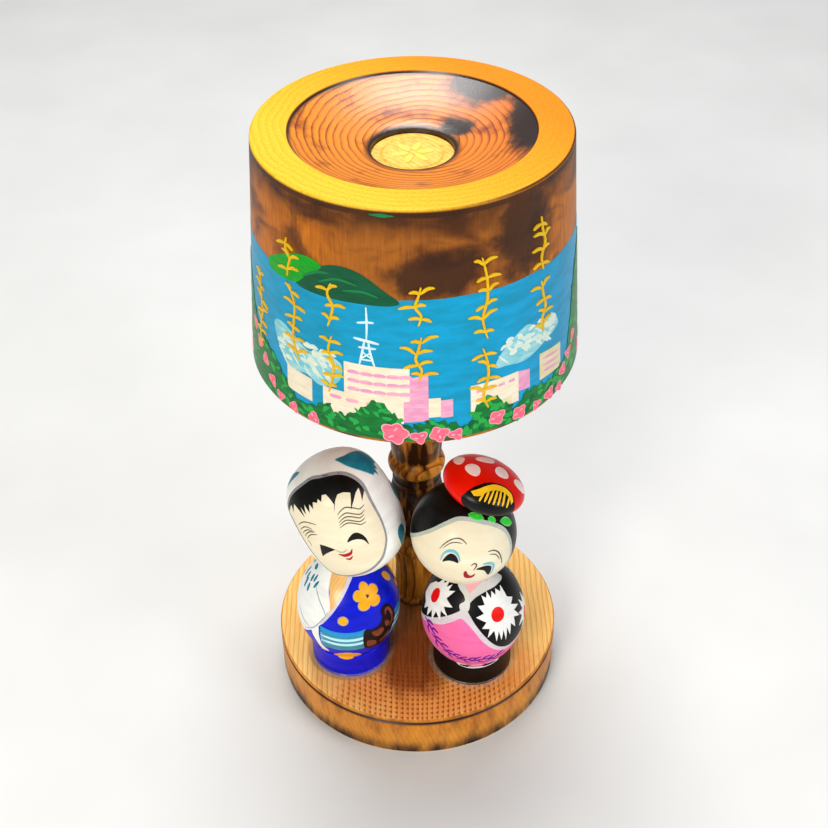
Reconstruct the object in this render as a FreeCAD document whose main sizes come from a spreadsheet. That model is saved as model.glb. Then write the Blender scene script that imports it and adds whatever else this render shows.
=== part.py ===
"""Lamp-shaped souvenir stand of turned, scorched wood with two kokeshi dolls, as separate pieces.

Units are millimetres.  The origin is the centre of the base's underside, +Z is up and -Y is the side that
the dolls stand on.  Left and right are as seen from the front.
"""
import FreeCAD, Part
import math
import os

import Sketcher

doc = FreeCAD.newDocument("KokeshiStand")
sheet = doc.addObject("Spreadsheet::Sheet", "Sizes")
Vector = FreeCAD.Vector
UP = Vector(0, 0, 1)


# ---------------------------------------------------------------- driving dimensions

class Size:
    """A length or an angle that carries its value and the sheet expression that gives it."""

    def __init__(self, value, text):
        self.value = value
        self.text = text

    def __add__(self, other):
        other = as_size(other)
        return Size(self.value + other.value, f"({self.text} + {other.text})")

    def __sub__(self, other):
        other = as_size(other)
        return Size(self.value - other.value, f"({self.text} - {other.text})")

    def __mul__(self, other):
        other = as_size(other)
        return Size(self.value * other.value, f"({self.text} * {other.text})")

    def __truediv__(self, other):
        other = as_size(other)
        return Size(self.value / other.value, f"({self.text} / {other.text})")


def as_size(number):
    return number if isinstance(number, Size) else Size(number, str(number))


def size(name, value, note):
    """Adds one driving dimension to the sheet and returns it."""
    size.row += 1
    sheet.set(f"A{size.row}", name)
    sheet.set(f"B{size.row}", str(value))
    sheet.setAlias(f"B{size.row}", name)
    sheet.set(f"C{size.row}", note)
    return Size(value, f"Sizes.{name}")


size.row = 0

base_radius = size("base_radius", 38.2, "round base")
base_height = size("base_height", 14.0, "thickness of the base")
base_edge_round = size("base_edge_round", 0.7, "rounding of the base's top edge")
base_foot_chamfer = size("base_foot_chamfer", 0.9, "chamfer round the underside")
burnt_line_drop = size("burnt_line_drop", 1.1, "burnt line below the base's top face")
burnt_line_width = size("burnt_line_width", 0.9, "mouth of the burnt line's groove")
burnt_line_depth = size("burnt_line_depth", 0.5, "depth of the burnt line's groove")

post_shift = size("post_shift", 0.3, "post axis to the right of the base's centre")
post_setback = size("post_setback", 8.6, "post axis behind the base's centre")
post_radius = size("post_radius", 7.7, "thickest part of the post")
post_groove_radius = size("post_groove_radius", 6.1, "bottom of the post's grooves")
post_waist_radius = size("post_waist_radius", 6.9, "where neighbouring swellings meet")
post_foot_length = size("post_foot_length", 17.5, "foot, up to the fine groove")
post_bead_length = size("post_bead_length", 7.0, "lower bead")
post_barrel_length = size("post_barrel_length", 17.5, "middle barrel, up to the cove")
post_cove_length = size("post_cove_length", 4.5, "cove under the ring")
post_ring_length = size("post_ring_length", 4.5, "ring")
post_top_length = size("post_top_length", 36.0, "top barrel, up to the shade")
foot_tenon_radius = size("foot_tenon_radius", 4.5, "tenon in the base")
foot_tenon_length = size("foot_tenon_length", 9.0, "tenon in the base")
top_tenon_radius = size("top_tenon_radius", 5.0, "tenon through the shade")
top_tenon_length = size("top_tenon_length", 46.5, "tenon through the shade")

shade_height = size("shade_height", 58.0, "shade, underside to rim")
shade_low_radius = size("shade_low_radius", 39.1, "shade at its lower edge")
shade_top_radius = size("shade_top_radius", 35.4, "shade at its top edge")
shade_low_round = size("shade_low_round", 1.6, "rounding of the lower edge")
shade_top_round = size("shade_top_round", 0.6, "rounding of the top edge")
dish_radius = size("dish_radius", 27.4, "mouth of the dish in the shade's top")
dish_step = size("dish_step", 0.6, "small step just inside the dish's mouth")
dish_depth = size("dish_depth", 5.3, "rim down to the dish's inner edge")
dish_sag = size("dish_sag", 0.9, "how hollow the dish's slope is")
plug_radius = size("plug_radius", 9.3, "plug in the middle of the dish")
plug_thickness = size("plug_thickness", 4.0, "plug")
plug_drop = size("plug_drop", 6.6, "rim down to the plug's face")
plug_ring_radius = size("plug_ring_radius", 6.9, "ring groove in the plug's face")
plug_ring_width = size("plug_ring_width", 0.7, "ring groove in the plug's face")
plug_ring_depth = size("plug_ring_depth", 0.35, "ring groove in the plug's face")

doll_foot_radius = size("doll_foot_radius", 10.4, "foot of each doll")
doll_foot_height = size("doll_foot_height", 7.9, "foot of each doll, up to the belly's underside")
belly_join_radius = size("belly_join_radius", 10.1, "belly where it meets the foot")
belly_radius = size("belly_radius", 13.5, "belly of each doll")
belly_height = size("belly_height", 18.3, "widest part of the belly above the base")
neck_radius = size("neck_radius", 4.6, "flat neck that carries the head")
body_height = size("body_height", 34.2, "doll's body without the head")
peg_radius = size("peg_radius", 2.0, "neck pegs")
peg_clearance = size("peg_clearance", 0.05, "running clearance of a head on its peg")
peg_depth = size("peg_depth", 9.0, "peg in the body")
peg_rise = size("peg_rise", 10.0, "peg in the head")
seat_gap = size("seat_gap", 0.1, "head's flat seat above the neck")
dowel_radius = size("dowel_radius", 1.5, "dowel that holds the hair bun")
dowel_reach = size("dowel_reach", 5.0, "dowel in the head, and in the bun")

left_x = size("left_x", -18.1, "left doll's axis")
left_y = size("left_y", -13.1, "left doll's axis")
right_x = size("right_x", 14.5, "right doll's axis")
right_y = size("right_y", -16.5, "right doll's axis")

left_head_height = size("left_head_height", 31.8, "hooded head, chin to crown")
left_head_radius = size("left_head_radius", 13.1, "hooded head")
left_head_corner_radius = size("left_head_corner_radius", 12.2, "where its side turns into its shoulder")
left_head_corner_rise = size("left_head_corner_rise", 8.4, "that turn, above and below its middle")
left_head_crown_radius = size("left_head_crown_radius", 7.0, "where its shoulder turns into its crown")
left_head_crown_drop = size("left_head_crown_drop", 1.2, "that turn, below the crown")
left_head_shoulder_swell = size("left_head_shoulder_swell", 1.06, "rise of the shoulder's arc")
left_head_shift = size("left_head_shift", 0.8, "head's middle beside the body's axis")
left_head_level = size("left_head_level", 50.7, "head's middle above the base")
left_head_tilt = size("left_head_tilt", -22, "degrees, top of the head to the left")
left_head_lean = size("left_head_lean", 7, "degrees, top of the head to the back")

right_head_rise = size("right_head_rise", 12.9, "hair head, half its height")
right_head_radius = size("right_head_radius", 13.2, "hair head")
right_head_shift = size("right_head_shift", -2.8, "head's middle beside the body's axis")
right_head_level = size("right_head_level", 46.7, "head's middle above the base")
right_head_tilt = size("right_head_tilt", 19, "degrees, top of the head to the right")
right_head_lean = size("right_head_lean", 7, "degrees, top of the head to the back")
bun_radius = size("bun_radius", 10.4, "hair bun")
bun_rise = size("bun_rise", 4.8, "hair bun, half its thickness")
bun_level = size("bun_level", 15.0, "bun's middle above the head's middle, along the head's axis")
bun_seat = size("bun_seat", 10.9, "flat between head and bun, above the head's middle")

nail_radius = size("nail_radius", 0.9, "nail's shank")
nail_head_radius = size("nail_head_radius", 2.0, "nail's head")
nail_head_height = size("nail_head_height", 0.8, "nail's head")
nail_recess = size("nail_recess", 0.6, "nail's head above the underside")
nail_length = size("nail_length", 21.0, "nail, head to point")
nail_point = size("nail_point", 2.0, "nail's point")
glue_height = size("glue_height", 0.9, "bead of glue round a doll's foot")
glue_width = size("glue_width", 1.3, "bead of glue round a doll's foot")

post_length = (post_foot_length + post_bead_length + post_barrel_length + post_cove_length
               + post_ring_length + post_top_length)
shade_level = base_height + post_length


# ---------------------------------------------------------------- ways of making a piece

def bind(feature, **sizes):
    """Sets each named property of a feature by an expression on the sheet."""
    for name, value in sizes.items():
        setattr(feature, name, as_size(value).value)
        feature.setExpression(name, as_size(value).text)
    return feature


def place(feature, x=0, y=0, z=0, rotation=FreeCAD.Rotation()):
    """Puts a feature at a place bound to the sheet."""
    where = [as_size(v) for v in (x, y, z)]
    feature.Placement = FreeCAD.Placement(Vector(*[v.value for v in where]), rotation)
    for axis, value in zip("xyz", where):
        feature.setExpression(f"Placement.Base.{axis}", value.text)
    return feature


def origin_plane(body, role):
    return next(f for f in body.Origin.OriginFeatures if f.Role == role)


def add_sketch(body, name, role):
    sketch = body.newObject("Sketcher::SketchObject", name)
    sketch.AttachmentSupport = [(origin_plane(body, role), "")]
    sketch.MapMode = "FlatFace"
    return sketch


def pin_point(sketch, edge, end, across, up):
    """Fixes an edge's end at (across, up) in the sketch, by datums bound to the sheet."""
    for kind, value, axis_line in (("DistanceX", across, -2), ("DistanceY", up, -1)):
        value = as_size(value)
        if value.value == 0:
            sketch.addConstraint(Sketcher.Constraint("PointOnObject", edge, end, axis_line))
        else:
            datum = sketch.addConstraint(Sketcher.Constraint(kind, -1, 1, edge, end, value.value))
            sketch.setExpression(f"Constraints[{datum}]", value.text)


def arc_between(start, end, rise):
    """The arc from start to end, in (radius, height), that rises by rise on the right of the way there."""
    chord = end - start
    outward = Vector(chord.y, -chord.x, 0).normalize()
    radius = chord.Length ** 2 / (8 * abs(rise)) + abs(rise) / 2
    side = 1 if rise > 0 else -1
    centre = (start + end) / 2 + outward * (rise - side * radius)
    first, last = (start, end) if rise > 0 else (end, start)
    angles = [math.atan2(p.y - centre.y, p.x - centre.x) for p in (first, last)]
    if angles[1] < angles[0]:
        angles[1] += 2 * math.pi
    return Part.ArcOfCircle(Part.Circle(centre, UP, radius), *angles)


def arc_radius(start, end, rise):
    """The radius of that arc, as a Size."""
    across = as_size(end[0]) - start[0]
    up = as_size(end[1]) - start[1]
    rise = as_size(rise)
    if rise.value < 0:
        rise = as_size(0) - rise
    return (across * across + up * up) / (rise * 8) + rise / 2


def turned(name, outline):
    """A lathe-turned body.  outline runs from the bottom round the outside to the top, as (radius, height) or,
    where an arc leads to the point, (radius, height, rise); a positive rise swells outwards."""
    body = doc.addObject("PartDesign::Body", name)
    sketch = add_sketch(body, f"{name}_outline", "XZ_Plane")
    flat = [Vector(as_size(p[0]).value, as_size(p[1]).value, 0) for p in outline]
    joints = []
    for i, point in enumerate(outline):
        j = (i + 1) % len(outline)
        goal = outline[j]
        if len(goal) == 3:
            rise = as_size(goal[2]).value
            edge = sketch.addGeometry(arc_between(flat[i], flat[j], rise))
            radius = arc_radius(point, goal, goal[2])
            datum = sketch.addConstraint(Sketcher.Constraint("Radius", edge, radius.value))
            sketch.setExpression(f"Constraints[{datum}]", radius.text)
            ends = (1, 2) if rise > 0 else (2, 1)
        else:
            edge = sketch.addGeometry(Part.LineSegment(flat[i], flat[j]))
            ends = (1, 2)
        joints.append((edge, ends))
    for i, (edge, ends) in enumerate(joints):
        before, before_ends = joints[i - 1]
        sketch.addConstraint(Sketcher.Constraint("Coincident", before, before_ends[1], edge, ends[0]))
        pin_point(sketch, edge, ends[0], outline[i][0], outline[i][1])
    revolution = body.newObject("PartDesign::Revolution", f"{name}_turning")
    revolution.Profile = sketch
    revolution.ReferenceAxis = (sketch, ["V_Axis"])
    revolution.Angle = 360
    doc.recompute()
    return body


def drilled(body, name, holes, depth):
    """Pockets round holes, as (x, y, radius), from the body's underside up to depth."""
    sketch = add_sketch(body, f"{name}_centres", "XY_Plane")
    for x, y, radius in holes:
        centre = Vector(as_size(x).value, as_size(y).value, 0)
        edge = sketch.addGeometry(Part.Circle(centre, UP, radius.value))
        pin_point(sketch, edge, 3, x, y)
        datum = sketch.addConstraint(Sketcher.Constraint("Radius", edge, radius.value))
        sketch.setExpression(f"Constraints[{datum}]", radius.text)
    doc.recompute()
    before = body.Shape.Volume
    pocket = body.newObject("PartDesign::Pocket", name)
    pocket.Profile = sketch
    pocket.Reversed = True
    bind(pocket, Length=depth)
    doc.recompute()
    cut = before - body.Shape.Volume
    wanted = sum(math.pi * radius.value ** 2 for x, y, radius in holes) * depth.value
    assert 0.5 * wanted < cut < 1.01 * wanted, f"{name} cut {cut:.1f} of {wanted:.1f} mm3"
    return pocket


def cylinder(name, radius, height):
    return bind(doc.addObject("Part::Cylinder", name), Radius=radius, Height=height)


def ellipsoid(name, rise, radius):
    return bind(doc.addObject("Part::Ellipsoid", name), Radius1=rise, Radius2=radius, Radius3=radius)


def cut_away(name, blank, tools):
    """blank without the tools, as a new feature that holds them."""
    if len(tools) == 1:
        tool = tools[0]
    else:
        tool = doc.addObject("Part::MultiFuse", f"{name}_tools")
        tool.Shapes = tools
    result = doc.addObject("Part::Cut", name)
    result.Base = blank
    result.Tool = tool
    return result


def tangent(angle):
    return Size(math.tan(math.radians(angle.value)), f"tan({angle.text})")


def on_head_axis(feature, middle, tilt, lean, along):
    """Sets a feature that was made along Z on a head's own axis, that far above the head's middle.  The axis
    goes up through the middle, tilt degrees to the right and lean degrees to the back."""
    across, back = tangent(tilt), tangent(lean)
    steepness = across * across + back * back + 1
    slope = Size(math.sqrt(steepness.value), f"sqrt({steepness.text})")
    step = as_size(along) / slope
    turn = FreeCAD.Rotation(UP, Vector(across.value, back.value, 1))
    return place(feature, middle[0] + step * across, middle[1] + step * back, middle[2] + step, turn)


# ---------------------------------------------------------------- base, with its burnt line and its holes

line_top = base_height - burnt_line_drop
base = turned("base", [
    (0, 0),
    (base_radius - base_foot_chamfer, 0),
    (base_radius, base_foot_chamfer),
    (base_radius, line_top - burnt_line_width),
    (base_radius - burnt_line_depth, line_top - burnt_line_width / 2),
    (base_radius, line_top),
    (base_radius, base_height - base_edge_round),
    (base_radius - base_edge_round, base_height, base_edge_round * 0.29),
    (0, base_height),
])
drilled(base, "nail_holes", [(left_x, left_y, nail_radius), (right_x, right_y, nail_radius)], base_height)
drilled(base, "nail_recesses", [(left_x, left_y, nail_head_radius), (right_x, right_y, nail_head_radius)],
        nail_recess + nail_head_height)
mortise = cylinder("mortise", foot_tenon_radius, foot_tenon_length)
place(mortise, x=post_shift, y=post_setback, z=base_height - foot_tenon_length)
base.Label = "base_blank"
base_piece = cut_away("base_mortised", base, [mortise])
base_piece.Label = "base"

# ---------------------------------------------------------------- post, a spindle with a tenon at each end

foot = foot_tenon_length
fine_groove = foot + post_foot_length
bead_top = fine_groove + post_bead_length
barrel_top = bead_top + post_barrel_length
cove_top = barrel_top + post_cove_length
ring_top = cove_top + post_ring_length
shoulder = ring_top + post_top_length
swell = post_radius - post_waist_radius
post = turned("post", [
    (0, 0),
    (foot_tenon_radius, 0),
    (foot_tenon_radius, foot),
    (post_waist_radius, foot),
    (post_radius - 0.2, foot + 0.7, 0.2),
    (post_waist_radius, foot + 2.0, 0.15),
    (post_waist_radius, fine_groove - 0.4, swell * -0.35),
    (post_groove_radius + 0.4, fine_groove),
    (post_waist_radius, fine_groove + 0.4),
    (post_groove_radius + 0.2, bead_top, swell * 1.1),
    (post_groove_radius, bead_top + 0.6),
    (post_waist_radius, bead_top + 1.6, -0.12),
    (post_waist_radius, barrel_top - 0.4, swell * 0.9),
    (post_groove_radius + 0.3, barrel_top + post_cove_length * 0.45, -0.3),
    (post_waist_radius, cove_top, -0.4),
    (post_waist_radius, ring_top - 0.4, swell),
    (post_groove_radius, ring_top + 0.3),
    (post_waist_radius, ring_top + 1.1),
    (post_waist_radius, shoulder, swell),
    (top_tenon_radius, shoulder),
    (top_tenon_radius, shoulder + top_tenon_length),
    (0, shoulder + top_tenon_length),
])
place(post, x=post_shift, y=post_setback, z=base_height - foot_tenon_length)

# ---------------------------------------------------------------- shade, with the dish in its top, and its plug

plug_floor = shade_height - plug_drop - plug_thickness
dish_edge = shade_height - dish_depth
shade = turned("shade", [
    (top_tenon_radius, 0),
    (shade_low_radius - shade_low_round, 0),
    (shade_low_radius, shade_low_round, shade_low_round * 0.29),
    (shade_top_radius, shade_height - shade_top_round),
    (shade_top_radius - shade_top_round, shade_height, shade_top_round * 0.29),
    (dish_radius, shade_height),
    (dish_radius - dish_step / 2, shade_height - dish_step),
    (plug_radius + 0.4, dish_edge, dish_sag * -1),
    (plug_radius, dish_edge - 0.3),
    (plug_radius, plug_floor),
    (top_tenon_radius, plug_floor),
])
place(shade, x=post_shift, y=post_setback, z=shade_level)

ring_in = plug_ring_radius - plug_ring_width / 2
ring_out = plug_ring_radius + plug_ring_width / 2
shade_plug = turned("shade_plug", [
    (0, 0),
    (plug_radius, 0),
    (plug_radius, plug_thickness - 0.2),
    (plug_radius - 0.2, plug_thickness),
    (ring_out, plug_thickness),
    (plug_ring_radius, plug_thickness - plug_ring_depth),
    (ring_in, plug_thickness),
    (0, plug_thickness),
])
place(shade_plug, x=post_shift, y=post_setback, z=shade_level + plug_floor)


# ---------------------------------------------------------------- what both dolls have

def doll_body(name, x, y):
    """The turned body: a short round foot under an egg, with a hole for the nail and one for the neck peg."""
    nail_hole = nail_recess + nail_length - base_height
    lower_in = belly_radius - belly_join_radius
    lower_up = belly_height - doll_foot_height
    upper_in = belly_radius - neck_radius
    upper_up = body_height - 0.6 - belly_height
    body = turned(name, [
        (0, nail_hole),
        (nail_radius, nail_hole - nail_point),
        (nail_radius, 0),
        (doll_foot_radius, 0),
        (doll_foot_radius, doll_foot_height - 0.4),
        (belly_join_radius, doll_foot_height, 0.1),
        (belly_radius, belly_height, square_arc_rise(lower_in, lower_up)),
        (neck_radius, body_height - 0.6, square_arc_rise(upper_in, upper_up)),
        (neck_radius, body_height),
        (peg_radius, body_height),
        (peg_radius, body_height - peg_depth),
        (0, body_height - peg_depth),
    ])
    return place(body, x=x, y=y, z=base_height)


def square_arc_rise(drop, run):
    """The rise of an arc that sets out along run and ends at run's far end, drop beside it.  So a belly's arc is
    upright at its widest, and a crown's arc is level at the axis.

    The arc's radius is (run^2 + drop^2) / (2 drop), and half of its angle is atan(drop / run).
    """
    radius = (run * run + drop * drop) / (drop * 2)
    exact = radius.value * (1 - math.cos(math.atan2(drop.value, run.value)))
    return Size(exact, f"({radius.text} * (1 - cos(atan({drop.text} / {run.text}))))")


def neck_peg(name, x, y):
    peg = cylinder(name, peg_radius, peg_depth + peg_rise)
    return place(peg, x, y, base_height + body_height - peg_depth)


def neck_seat_and_bore(name, x, y):
    """What is taken out of a head: the flat that it sits on and the blind bore that turns on the peg."""
    neck_level = base_height + body_height
    seat = cylinder(f"{name}_seat", neck_radius * 4, neck_radius * 2)
    bore = cylinder(f"{name}_bore", peg_radius + peg_clearance, peg_rise + 0.5)
    return [place(seat, x, y, neck_level + seat_gap - neck_radius * 2), place(bore, x, y, neck_level)]


def foot_nail(name, x, y):
    """A wire nail, driven up through the base into the doll's foot."""
    nail = turned(name, [
        (0, 0),
        (nail_head_radius, 0),
        (nail_head_radius, nail_head_height),
        (nail_radius, nail_head_height),
        (nail_radius, nail_length - nail_point),
        (0, nail_length),
    ])
    return place(nail, x=x, y=y, z=nail_recess)


def glue_bead(name, x, y):
    """The clear bead of glue that squeezed out round a doll's foot."""
    bead = turned(name, [
        (doll_foot_radius, 0),
        (doll_foot_radius + glue_width, 0),
        (doll_foot_radius, glue_height, glue_height * -0.12),
    ])
    return place(bead, x=x, y=y, z=base_height)


# ---------------------------------------------------------------- left doll, with the white hood

left_body = doll_body("left_body", left_x, left_y)
left_neck_peg = neck_peg("left_neck_peg", left_x, left_y)
left_foot_nail = foot_nail("left_foot_nail", left_x, left_y)
left_glue_bead = glue_bead("left_glue_bead", left_x, left_y)

left_low_corner = left_head_height / 2 - left_head_corner_rise
left_high_corner = left_head_height / 2 + left_head_corner_rise
crown_swell = square_arc_rise(left_head_crown_drop, left_head_crown_radius)
left_blank = turned("left_head_blank", [
    (0, 0),
    (left_head_crown_radius, left_head_crown_drop, crown_swell),
    (left_head_corner_radius, left_low_corner, left_head_shoulder_swell),
    (left_head_corner_radius, left_high_corner, left_head_radius - left_head_corner_radius),
    (left_head_crown_radius, left_head_height - left_head_crown_drop, left_head_shoulder_swell),
    (0, left_head_height, crown_swell),
])
left_middle = (left_x + left_head_shift, left_y, base_height + left_head_level)
on_head_axis(left_blank, left_middle, left_head_tilt, left_head_lean, left_head_height / -2)
left_head = cut_away("left_head", left_blank, neck_seat_and_bore("left_head", left_x, left_y))

# ---------------------------------------------------------------- right doll, with the hair bun

right_body = doll_body("right_body", right_x, right_y)
right_neck_peg = neck_peg("right_neck_peg", right_x, right_y)
right_foot_nail = foot_nail("right_foot_nail", right_x, right_y)
right_glue_bead = glue_bead("right_glue_bead", right_x, right_y)

right_middle = (right_x + right_head_shift, right_y, base_height + right_head_level)


def on_right_axis(feature, along):
    return on_head_axis(feature, right_middle, right_head_tilt, right_head_lean, along)


right_blank = on_right_axis(ellipsoid("right_head_blank", right_head_rise, right_head_radius), 0)
bun_flat = on_right_axis(cylinder("bun_flat", right_head_radius, bun_rise), bun_seat)
dowel_hole = on_right_axis(cylinder("dowel_hole", dowel_radius, dowel_reach), bun_seat - dowel_reach)
right_head = cut_away("right_head", right_blank,
                      [bun_flat, dowel_hole] + neck_seat_and_bore("right_head", right_x, right_y))

bun_blank = on_right_axis(ellipsoid("bun_blank", bun_rise, bun_radius), bun_level)
bun_under = on_right_axis(cylinder("bun_under", bun_radius, bun_rise), bun_seat - bun_rise)
bun_hole = on_right_axis(cylinder("bun_hole", dowel_radius, dowel_reach), bun_seat)
right_bun = cut_away("right_bun", bun_blank, [bun_under, bun_hole])
right_bun_dowel = on_right_axis(cylinder("right_bun_dowel", dowel_radius, dowel_reach * 2),
                                bun_seat - dowel_reach)

# ---------------------------------------------------------------- check and write each piece

PIECES = [base_piece, post, shade, shade_plug,
          left_body, left_neck_peg, left_head, left_foot_nail, left_glue_bead,
          right_body, right_neck_peg, right_head, right_bun, right_bun_dowel, right_foot_nail,
          right_glue_bead]

doc.recompute()
failed = [f.Name for f in doc.Objects if "Invalid" in f.State or "Error" in f.State]
assert not failed, f"these features failed: {failed}"
for piece in PIECES:
    shape = piece.Shape
    assert not shape.isNull() and shape.isValid() and shape.Solids, f"{piece.Label} has no valid solid"
os.makedirs("parts", exist_ok=True)
for piece in PIECES:
    piece.Shape.exportStep(f"parts/{piece.Label}.step")
    print(f"{piece.Label}: {piece.Shape.Volume:.1f} mm3, {len(piece.Shape.Solids)} solid")
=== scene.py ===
"""A lamp-shaped wooden stand with two kokeshi dolls whose heads turn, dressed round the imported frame.

The pieces follow the object as it is put together: base, post, shade with its dish and plug, the mural on
the shade, what fixes the dolls, the dolls' bodies and clothes, and then each head with its hair.  Sizes are
in millimetres until a mesh is made.  +Z is up, -Y is the front, and angles on a turned form grow from its
front to its right.
"""

import random
from bisect import bisect_right
from math import asin, atan2, ceil, cos, degrees, pi, radians, sin, tan

import bmesh
import bpy
from mathutils import Euler, Matrix, Vector
from mathutils.geometry import delaunay_2d_cdt


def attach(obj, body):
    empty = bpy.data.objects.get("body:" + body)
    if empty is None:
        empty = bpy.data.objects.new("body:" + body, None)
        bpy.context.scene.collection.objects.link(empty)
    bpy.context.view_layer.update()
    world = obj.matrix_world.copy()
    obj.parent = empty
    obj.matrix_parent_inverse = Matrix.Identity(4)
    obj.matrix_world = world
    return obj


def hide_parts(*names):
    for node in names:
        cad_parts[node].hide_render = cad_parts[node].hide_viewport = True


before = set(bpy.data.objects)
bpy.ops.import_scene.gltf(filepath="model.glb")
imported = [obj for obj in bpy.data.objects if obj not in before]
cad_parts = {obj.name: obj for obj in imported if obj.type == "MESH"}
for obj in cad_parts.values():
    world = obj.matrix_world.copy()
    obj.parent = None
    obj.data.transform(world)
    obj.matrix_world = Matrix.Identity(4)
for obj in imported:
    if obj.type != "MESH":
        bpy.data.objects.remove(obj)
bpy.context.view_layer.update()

MM = 0.001

# ================================================================ where it stands: floor, light and camera
# A matt pale studio floor, lit by a broad soft box overhead and a weaker one from the front left.
# The camera looks down on the stand from the front, as a hand-held close-up does.


def linear(colour):
    """The linear RGBA that a shader takes, from an sRGB colour in hex."""
    parts = [int(colour[i:i + 2], 16) / 255 for i in (1, 3, 5)]
    return [c / 12.92 if c <= 0.04045 else ((c + 0.055) / 1.055) ** 2.4 for c in parts] + [1.0]


def add(tree, kind, *values, inputs=None, stops=None, out=0, **others):
    """One shader node's output: its inputs in order or by name, its settings, and the stops of its ramp.

    A word that starts with a capital letter names an input, and any other word a setting.
    """
    made = tree.nodes.new("ShaderNode" + kind)
    sockets = dict(enumerate(values)) | (inputs or {})
    for name, value in others.items():
        if name[0].isupper():
            sockets[name.replace("_", " ")] = value
        else:
            setattr(made, name, value)
    if stops:
        ramp = made.color_ramp
        while len(ramp.elements) < len(stops):
            ramp.elements.new(0.5)
        for element, (place, colour) in zip(ramp.elements, stops):
            element.position = place
            element.color = linear(colour)
    for name, value in sockets.items():
        if isinstance(value, bpy.types.NodeSocket):
            tree.links.new(value, made.inputs[name])
        else:
            made.inputs[name].default_value = linear(value) if isinstance(value, str) else value
    return made.outputs[out]


def new_finish(name, roughness, **shine):
    """A material, its tree, its surface shader, and a point's place on the piece in millimetres."""
    made = bpy.data.materials.new(name)
    made.use_nodes = True
    tree = made.node_tree
    skin = tree.nodes["Principled BSDF"]
    skin.inputs["Roughness"].default_value = roughness
    for socket, value in shine.items():
        skin.inputs[socket.replace("_", " ")].default_value = value
    place = add(tree, "TexCoord", out="Object")
    mm = add(tree, "VectorMath", place, Scale=1000.0, operation="SCALE")
    return made, tree, skin, mm


floor_mesh = bpy.data.meshes.new("studio_floor")
floor_half = 3.0
floor_mesh.from_pydata([(x * floor_half, y * floor_half, 0)
                        for x, y in ((-1, -1), (1, -1), (1, 1), (-1, 1))],
                       [], [(0, 1, 2, 3)])
studio_floor = bpy.data.objects.new("studio_floor", floor_mesh)
bpy.context.scene.collection.objects.link(studio_floor)

# Matt painted board: a faint unevenness keeps it from being one flat grey.
floor_finish, tree, skin, mm = new_finish("pale_floor_paint", 0.75)
cloud = add(tree, "TexNoise", mm, Scale=1 / 60, Detail=3.0)
floor_colour = add(tree, "ValToRGB", cloud, stops=[(0.3, "#CFCFCD"), (0.7, "#D6D6D4")])
tree.links.new(floor_colour, skin.inputs["Base Color"])
studio_floor.data.materials.append(floor_finish)

surroundings = bpy.data.worlds.new("studio_air")
surroundings.use_nodes = True
surroundings.node_tree.nodes["Background"].inputs["Color"].default_value = linear("#E9EDF2")
surroundings.node_tree.nodes["Background"].inputs["Strength"].default_value = 0.30
bpy.context.scene.world = surroundings
bpy.context.scene.view_settings.view_transform = "Standard"

for name, place, target, size, watts, colour in (
        ("overhead_softbox", (-0.03, 0.30, 0.85), (0, 0, 0.12), 0.46, 7.0, "#FFFFFF"),
        ("front_softbox", (-0.32, -0.68, 0.50), (0, 0, 0.06), 0.34, 5.0, "#FFF8EE"),
        ("right_fill", (0.66, -0.42, 0.42), (0, 0, 0.08), 0.45, 3.0, "#F6F8FF")):
    light = bpy.data.lights.new(name, "AREA")
    light.shape = "DISK"
    light.size = size
    light.energy = watts
    light.color = linear(colour)[:3]
    lamp = bpy.data.objects.new(name, light)
    lamp.location = place
    lamp.rotation_euler = (Vector(target) - Vector(place)).to_track_quat("-Z", "Y").to_euler()
    bpy.context.scene.collection.objects.link(lamp)

camera_place = Vector((-0.0002, -0.2569, 0.2968))
camera_target = Vector((-0.0002, 0.0086, 0.0780))
camera_roll = radians(-0.79)
camera_data = bpy.data.cameras.new("studio_camera")
camera_data.sensor_width = 36.0
camera_data.lens = 58.7
camera_data.clip_start = 0.01
camera = bpy.data.objects.new("studio_camera", camera_data)
aim = (camera_target - camera_place).to_track_quat("-Z", "Y")
camera.location = camera_place
camera.rotation_euler = (aim @ Euler((0, 0, camera_roll)).to_quaternion()).to_euler()
bpy.context.scene.collection.objects.link(camera)
bpy.context.scene.camera = camera

# ================================================================ base
# A round board of pale softwood, sawn along the grain and turned: growth lines run from front to back, the
# tool left faint circles, and a wire held on the spinning edge burnt a dark line.  It was flamed, then
# lacquered, so it is brown along its foot and brown between and behind the dolls, where the brown is partly
# painted shade from the dolls and the drum overhead.


def bowed(outline):
    """Points of an outline of (radius, height[, rise]); a rise bows that side outwards by so much."""
    points = [Vector(outline[0][:2])]
    for stop in outline[1:]:
        start, end = points[-1], Vector(stop[:2])
        rise = stop[2] if len(stop) > 2 else 0
        chord = end - start
        if rise:
            radius = chord.length ** 2 / (8 * rise) + rise / 2
            out = Vector((chord.y, -chord.x)).normalized()
            middle = (start + end) / 2 + out * (rise - radius)
            half = asin(min(1, chord.length / 2 / abs(radius))) * (1 if radius > 0 else -1)
            if abs(rise) > chord.length / 2:
                half = (pi if half > 0 else -pi) - half
            steps = max(3, ceil(abs(half) / radians(2.5)))
            for k in range(1, steps):
                turn = half * (2 * k / steps - 1)
                swing = out * (cos(turn) * radius) + chord.normalized() * (sin(turn) * radius)
                points.append(middle + swing)
        points.append(end)
    return points


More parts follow.
